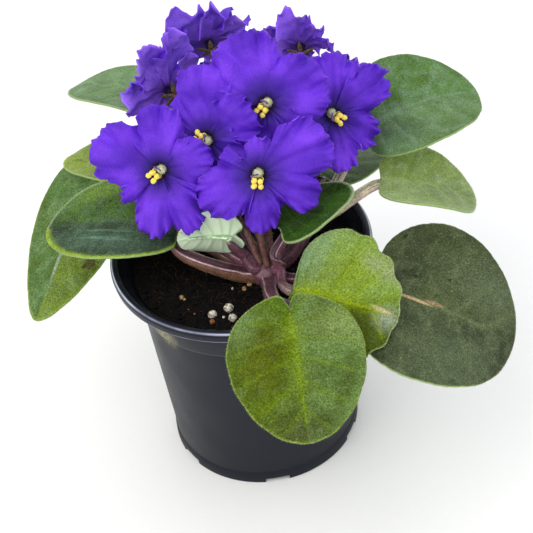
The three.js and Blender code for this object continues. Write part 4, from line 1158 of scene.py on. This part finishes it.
def makePot():
    build = potBuild
    rim, high, body, bottom, foot, footHigh, ledge, collar, low, level = (build[key] for key in (
        "rim", "height", "body", "bottom", "foot", "footHeight", "ledge", "collar", "floorLow", "floorHigh"))
    inner, wallFoot, under = rim - build["lip"], bottom - build["wall"], high - build["skirt"]
    profile = (
        (0, low), (foot - 6, low), (foot - 3.2, 0.3), (foot - 2.6, 0), (foot - 0.5, 0), (foot, 0.5),
        (foot - 0.2, footHigh - 0.5), (foot - 0.5, footHigh), (bottom + 0.1, footHigh + 0.7),
        (bottom, footHigh + 1.6), (body - 0.1, ledge - 0.4), (body + 0.3, ledge), (body + 0.8, ledge + 0.25),
        (body + 1.0, ledge + 0.8), (body + 1.8, collar + 4), (body + 2.6, under - 1.2), (body + 3.2, under - 0.4),
        (rim - 2.2, under - 0.2), (rim - 0.9, under), (rim - 0.3, under + 0.5), (rim, high - 2.2),
        (rim - 0.1, high - 1.3), (rim - 0.5, high - 0.6), (rim - 1.1, high - 0.15), (rim - 1.8, high),
        (inner + 1.0, high - 0.1), (inner + 0.3, high - 0.5), (inner - 0.1, high - 1.2), (body + 1.6, collar + 9),
        (body - build["wall"] + 0.6, collar), (wallFoot, level + 3), (wallFoot - 1, level + 0.8),
        (wallFoot - 3, level), (0, level),
    )
    bm = bmesh.new()
    verts = [bm.verts.new((r, 0, z)) for r, z in profile]
    edges = [bm.edges.new(pair) for pair in zip(verts, verts[1:])]
    bmesh.ops.spin(bm, geom=verts + edges, cent=(0, 0, 0), axis=(0, 0, 1), angle=2 * math.pi,
                   steps=build["steps"], use_merge=True)
    bmesh.ops.remove_doubles(bm, verts=bm.verts, dist=0.001)
    bmesh.ops.recalc_face_normals(bm, faces=bm.faces)
    piece = placePiece(bm, "pot_look", [potFinish()], ["pot"])

    cut = bmesh.new()
    for i in range(build["notches"]):
        turned = Matrix.Rotation((i + 0.5) * 2 * math.pi / build["notches"], 4, "Z")
        stand = turned @ Matrix.Translation((foot, 0, 0))
        shape = stand @ Matrix.Diagonal((12, build["notchWidth"], 2 * build["notchHeight"], 1))
        cube = bmesh.ops.create_cube(cut, size=1, matrix=shape)["verts"]
        edges = dict.fromkeys(edge for vert in cube for edge in vert.link_edges)  # each once, in a fixed order
        upper = [edge for edge in edges if all(vert.co.z > 0 for vert in edge.verts)]
        bmesh.ops.bevel(cut, geom=upper, offset=0.6, segments=3, profile=0.5, affect="EDGES", material=-1)
    for i in range(build["drains"]):
        turn = i * 2 * math.pi / build["drains"]
        stand = Matrix.Translation((build["drainRing"] * math.cos(turn), build["drainRing"] * math.sin(turn),
                                    level - 1))
        bmesh.ops.create_cone(cut, cap_ends=True, segments=32, radius1=build["drainRadius"],
                              radius2=build["drainRadius"], depth=8, matrix=stand)
    bmesh.ops.recalc_face_normals(cut, faces=cut.faces)
    cut.transform(Matrix.Scale(mm, 4) @ Matrix.Translation(potAxis))
    cutter = bpy.data.objects.new("cutter", bpy.data.meshes.new("cutter"))
    cut.to_mesh(cutter.data)
    cut.free()
    scene.collection.objects.link(cutter)
    holes = piece.modifiers.new("holes", "BOOLEAN")
    holes.object = cutter
    holes.operation = "DIFFERENCE"
    holes.solver = "EXACT"
    bpy.context.view_layer.update()
    cutMesh = bpy.data.meshes.new_from_object(piece.evaluated_get(bpy.context.evaluated_depsgraph_get()))
    piece.modifiers.clear()
    piece.data = cutMesh
    bpy.data.objects.remove(cutter)
    piece.data.shade_smooth()
    piece.data.set_sharp_from_angle(angle=math.radians(40))


makePot()
print("pot done")


# floor, light and camera: a pale table, one big soft window high on the left and a weak fill

studio = {
    "floorCode": "#f6f5f4", "worldCode": "#f3f5f8", "worldStrength": 1.1,
    "key": {"at": (-0.5, -0.45, 0.95), "size": 0.9, "watts": 4.8, "code": "#fffaf2"},
    "fill": {"at": (0.8, -0.45, 0.55), "size": 0.9, "watts": 1, "code": "#eef3ff"},
    "back": {"at": (0.1, 0.9, 0.8), "size": 0.8, "watts": 1.5, "code": "#ffffff"},
}
photoView = {"from": (0, -385.8, 433.0), "heading": 1.53, "down": 40.98, "roll": -8.02, "lens": 74.3}


def makeFloor():
    # matt white laminate with a barely visible grain
    material, tree, shader, place = startFinish("whiteLaminate", 0.55, 0.3)
    pale = linearColour(studio["floorCode"])
    darker = [0.97 * channel for channel in pale[:3]] + [1]
    grain = addNode(tree, "TexNoise", {"Vector": place, "Scale": 1 / (3 * mm), "Detail": 3.0})
    colour = addNode(tree, "Mix", {"data_type": "RGBA", 0: grain, 6: pale, 7: darker}, 2)
    setNode(tree, shader, {"Base Color": colour})
    bm = bmesh.new()
    bmesh.ops.create_grid(bm, x_segments=1, y_segments=1, size=3)
    mesh = bpy.data.meshes.new("floor")
    bm.to_mesh(mesh)
    bm.free()
    floor = bpy.data.objects.new("floor", mesh)
    scene.collection.objects.link(floor)
    mesh.materials.append(material)


def addLight(name, lamp):
    light = bpy.data.lights.new(name, "AREA")
    light.shape = "DISK"
    light.size = lamp["size"]
    light.energy = lamp["watts"]
    light.color = linearColour(lamp["code"])[:3]
    stand = bpy.data.objects.new(name, light)
    at = Vector(lamp["at"])
    turned = (Vector((0, 0, 0.1)) - at).to_track_quat("-Z", "Y").to_matrix().to_4x4()
    stand.matrix_world = Matrix.Translation(at) @ turned
    scene.collection.objects.link(stand)


makeFloor()
for name in ("key", "fill", "back"):
    addLight(name + "Light", studio[name])
sky = bpy.data.worlds.new("paleRoom")
sky.use_nodes = True
light = {"Color": linearColour(studio["worldCode"]), "Strength": studio["worldStrength"]}
setNode(sky.node_tree, sky.node_tree.nodes["Background"], light)
scene.world = sky
scene.view_settings.view_transform = "Standard"

lens = bpy.data.cameras.new("photoCamera")
lens.sensor_width = 36
lens.lens = photoView["lens"]
lens.clip_start = 0.01
camera = bpy.data.objects.new("photoCamera", lens)
camera.matrix_world = (Matrix.Translation((Vector(photoView["from"]) + potAxis) * mm)
                       @ Matrix.Rotation(math.radians(-photoView["heading"]), 4, "Z")
                       @ Matrix.Rotation(math.radians(90 - photoView["down"]), 4, "X")
                       @ Matrix.Rotation(math.radians(photoView["roll"]), 4, "Z"))
scene.collection.objects.link(camera)
scene.camera = camera
print("studio ready")
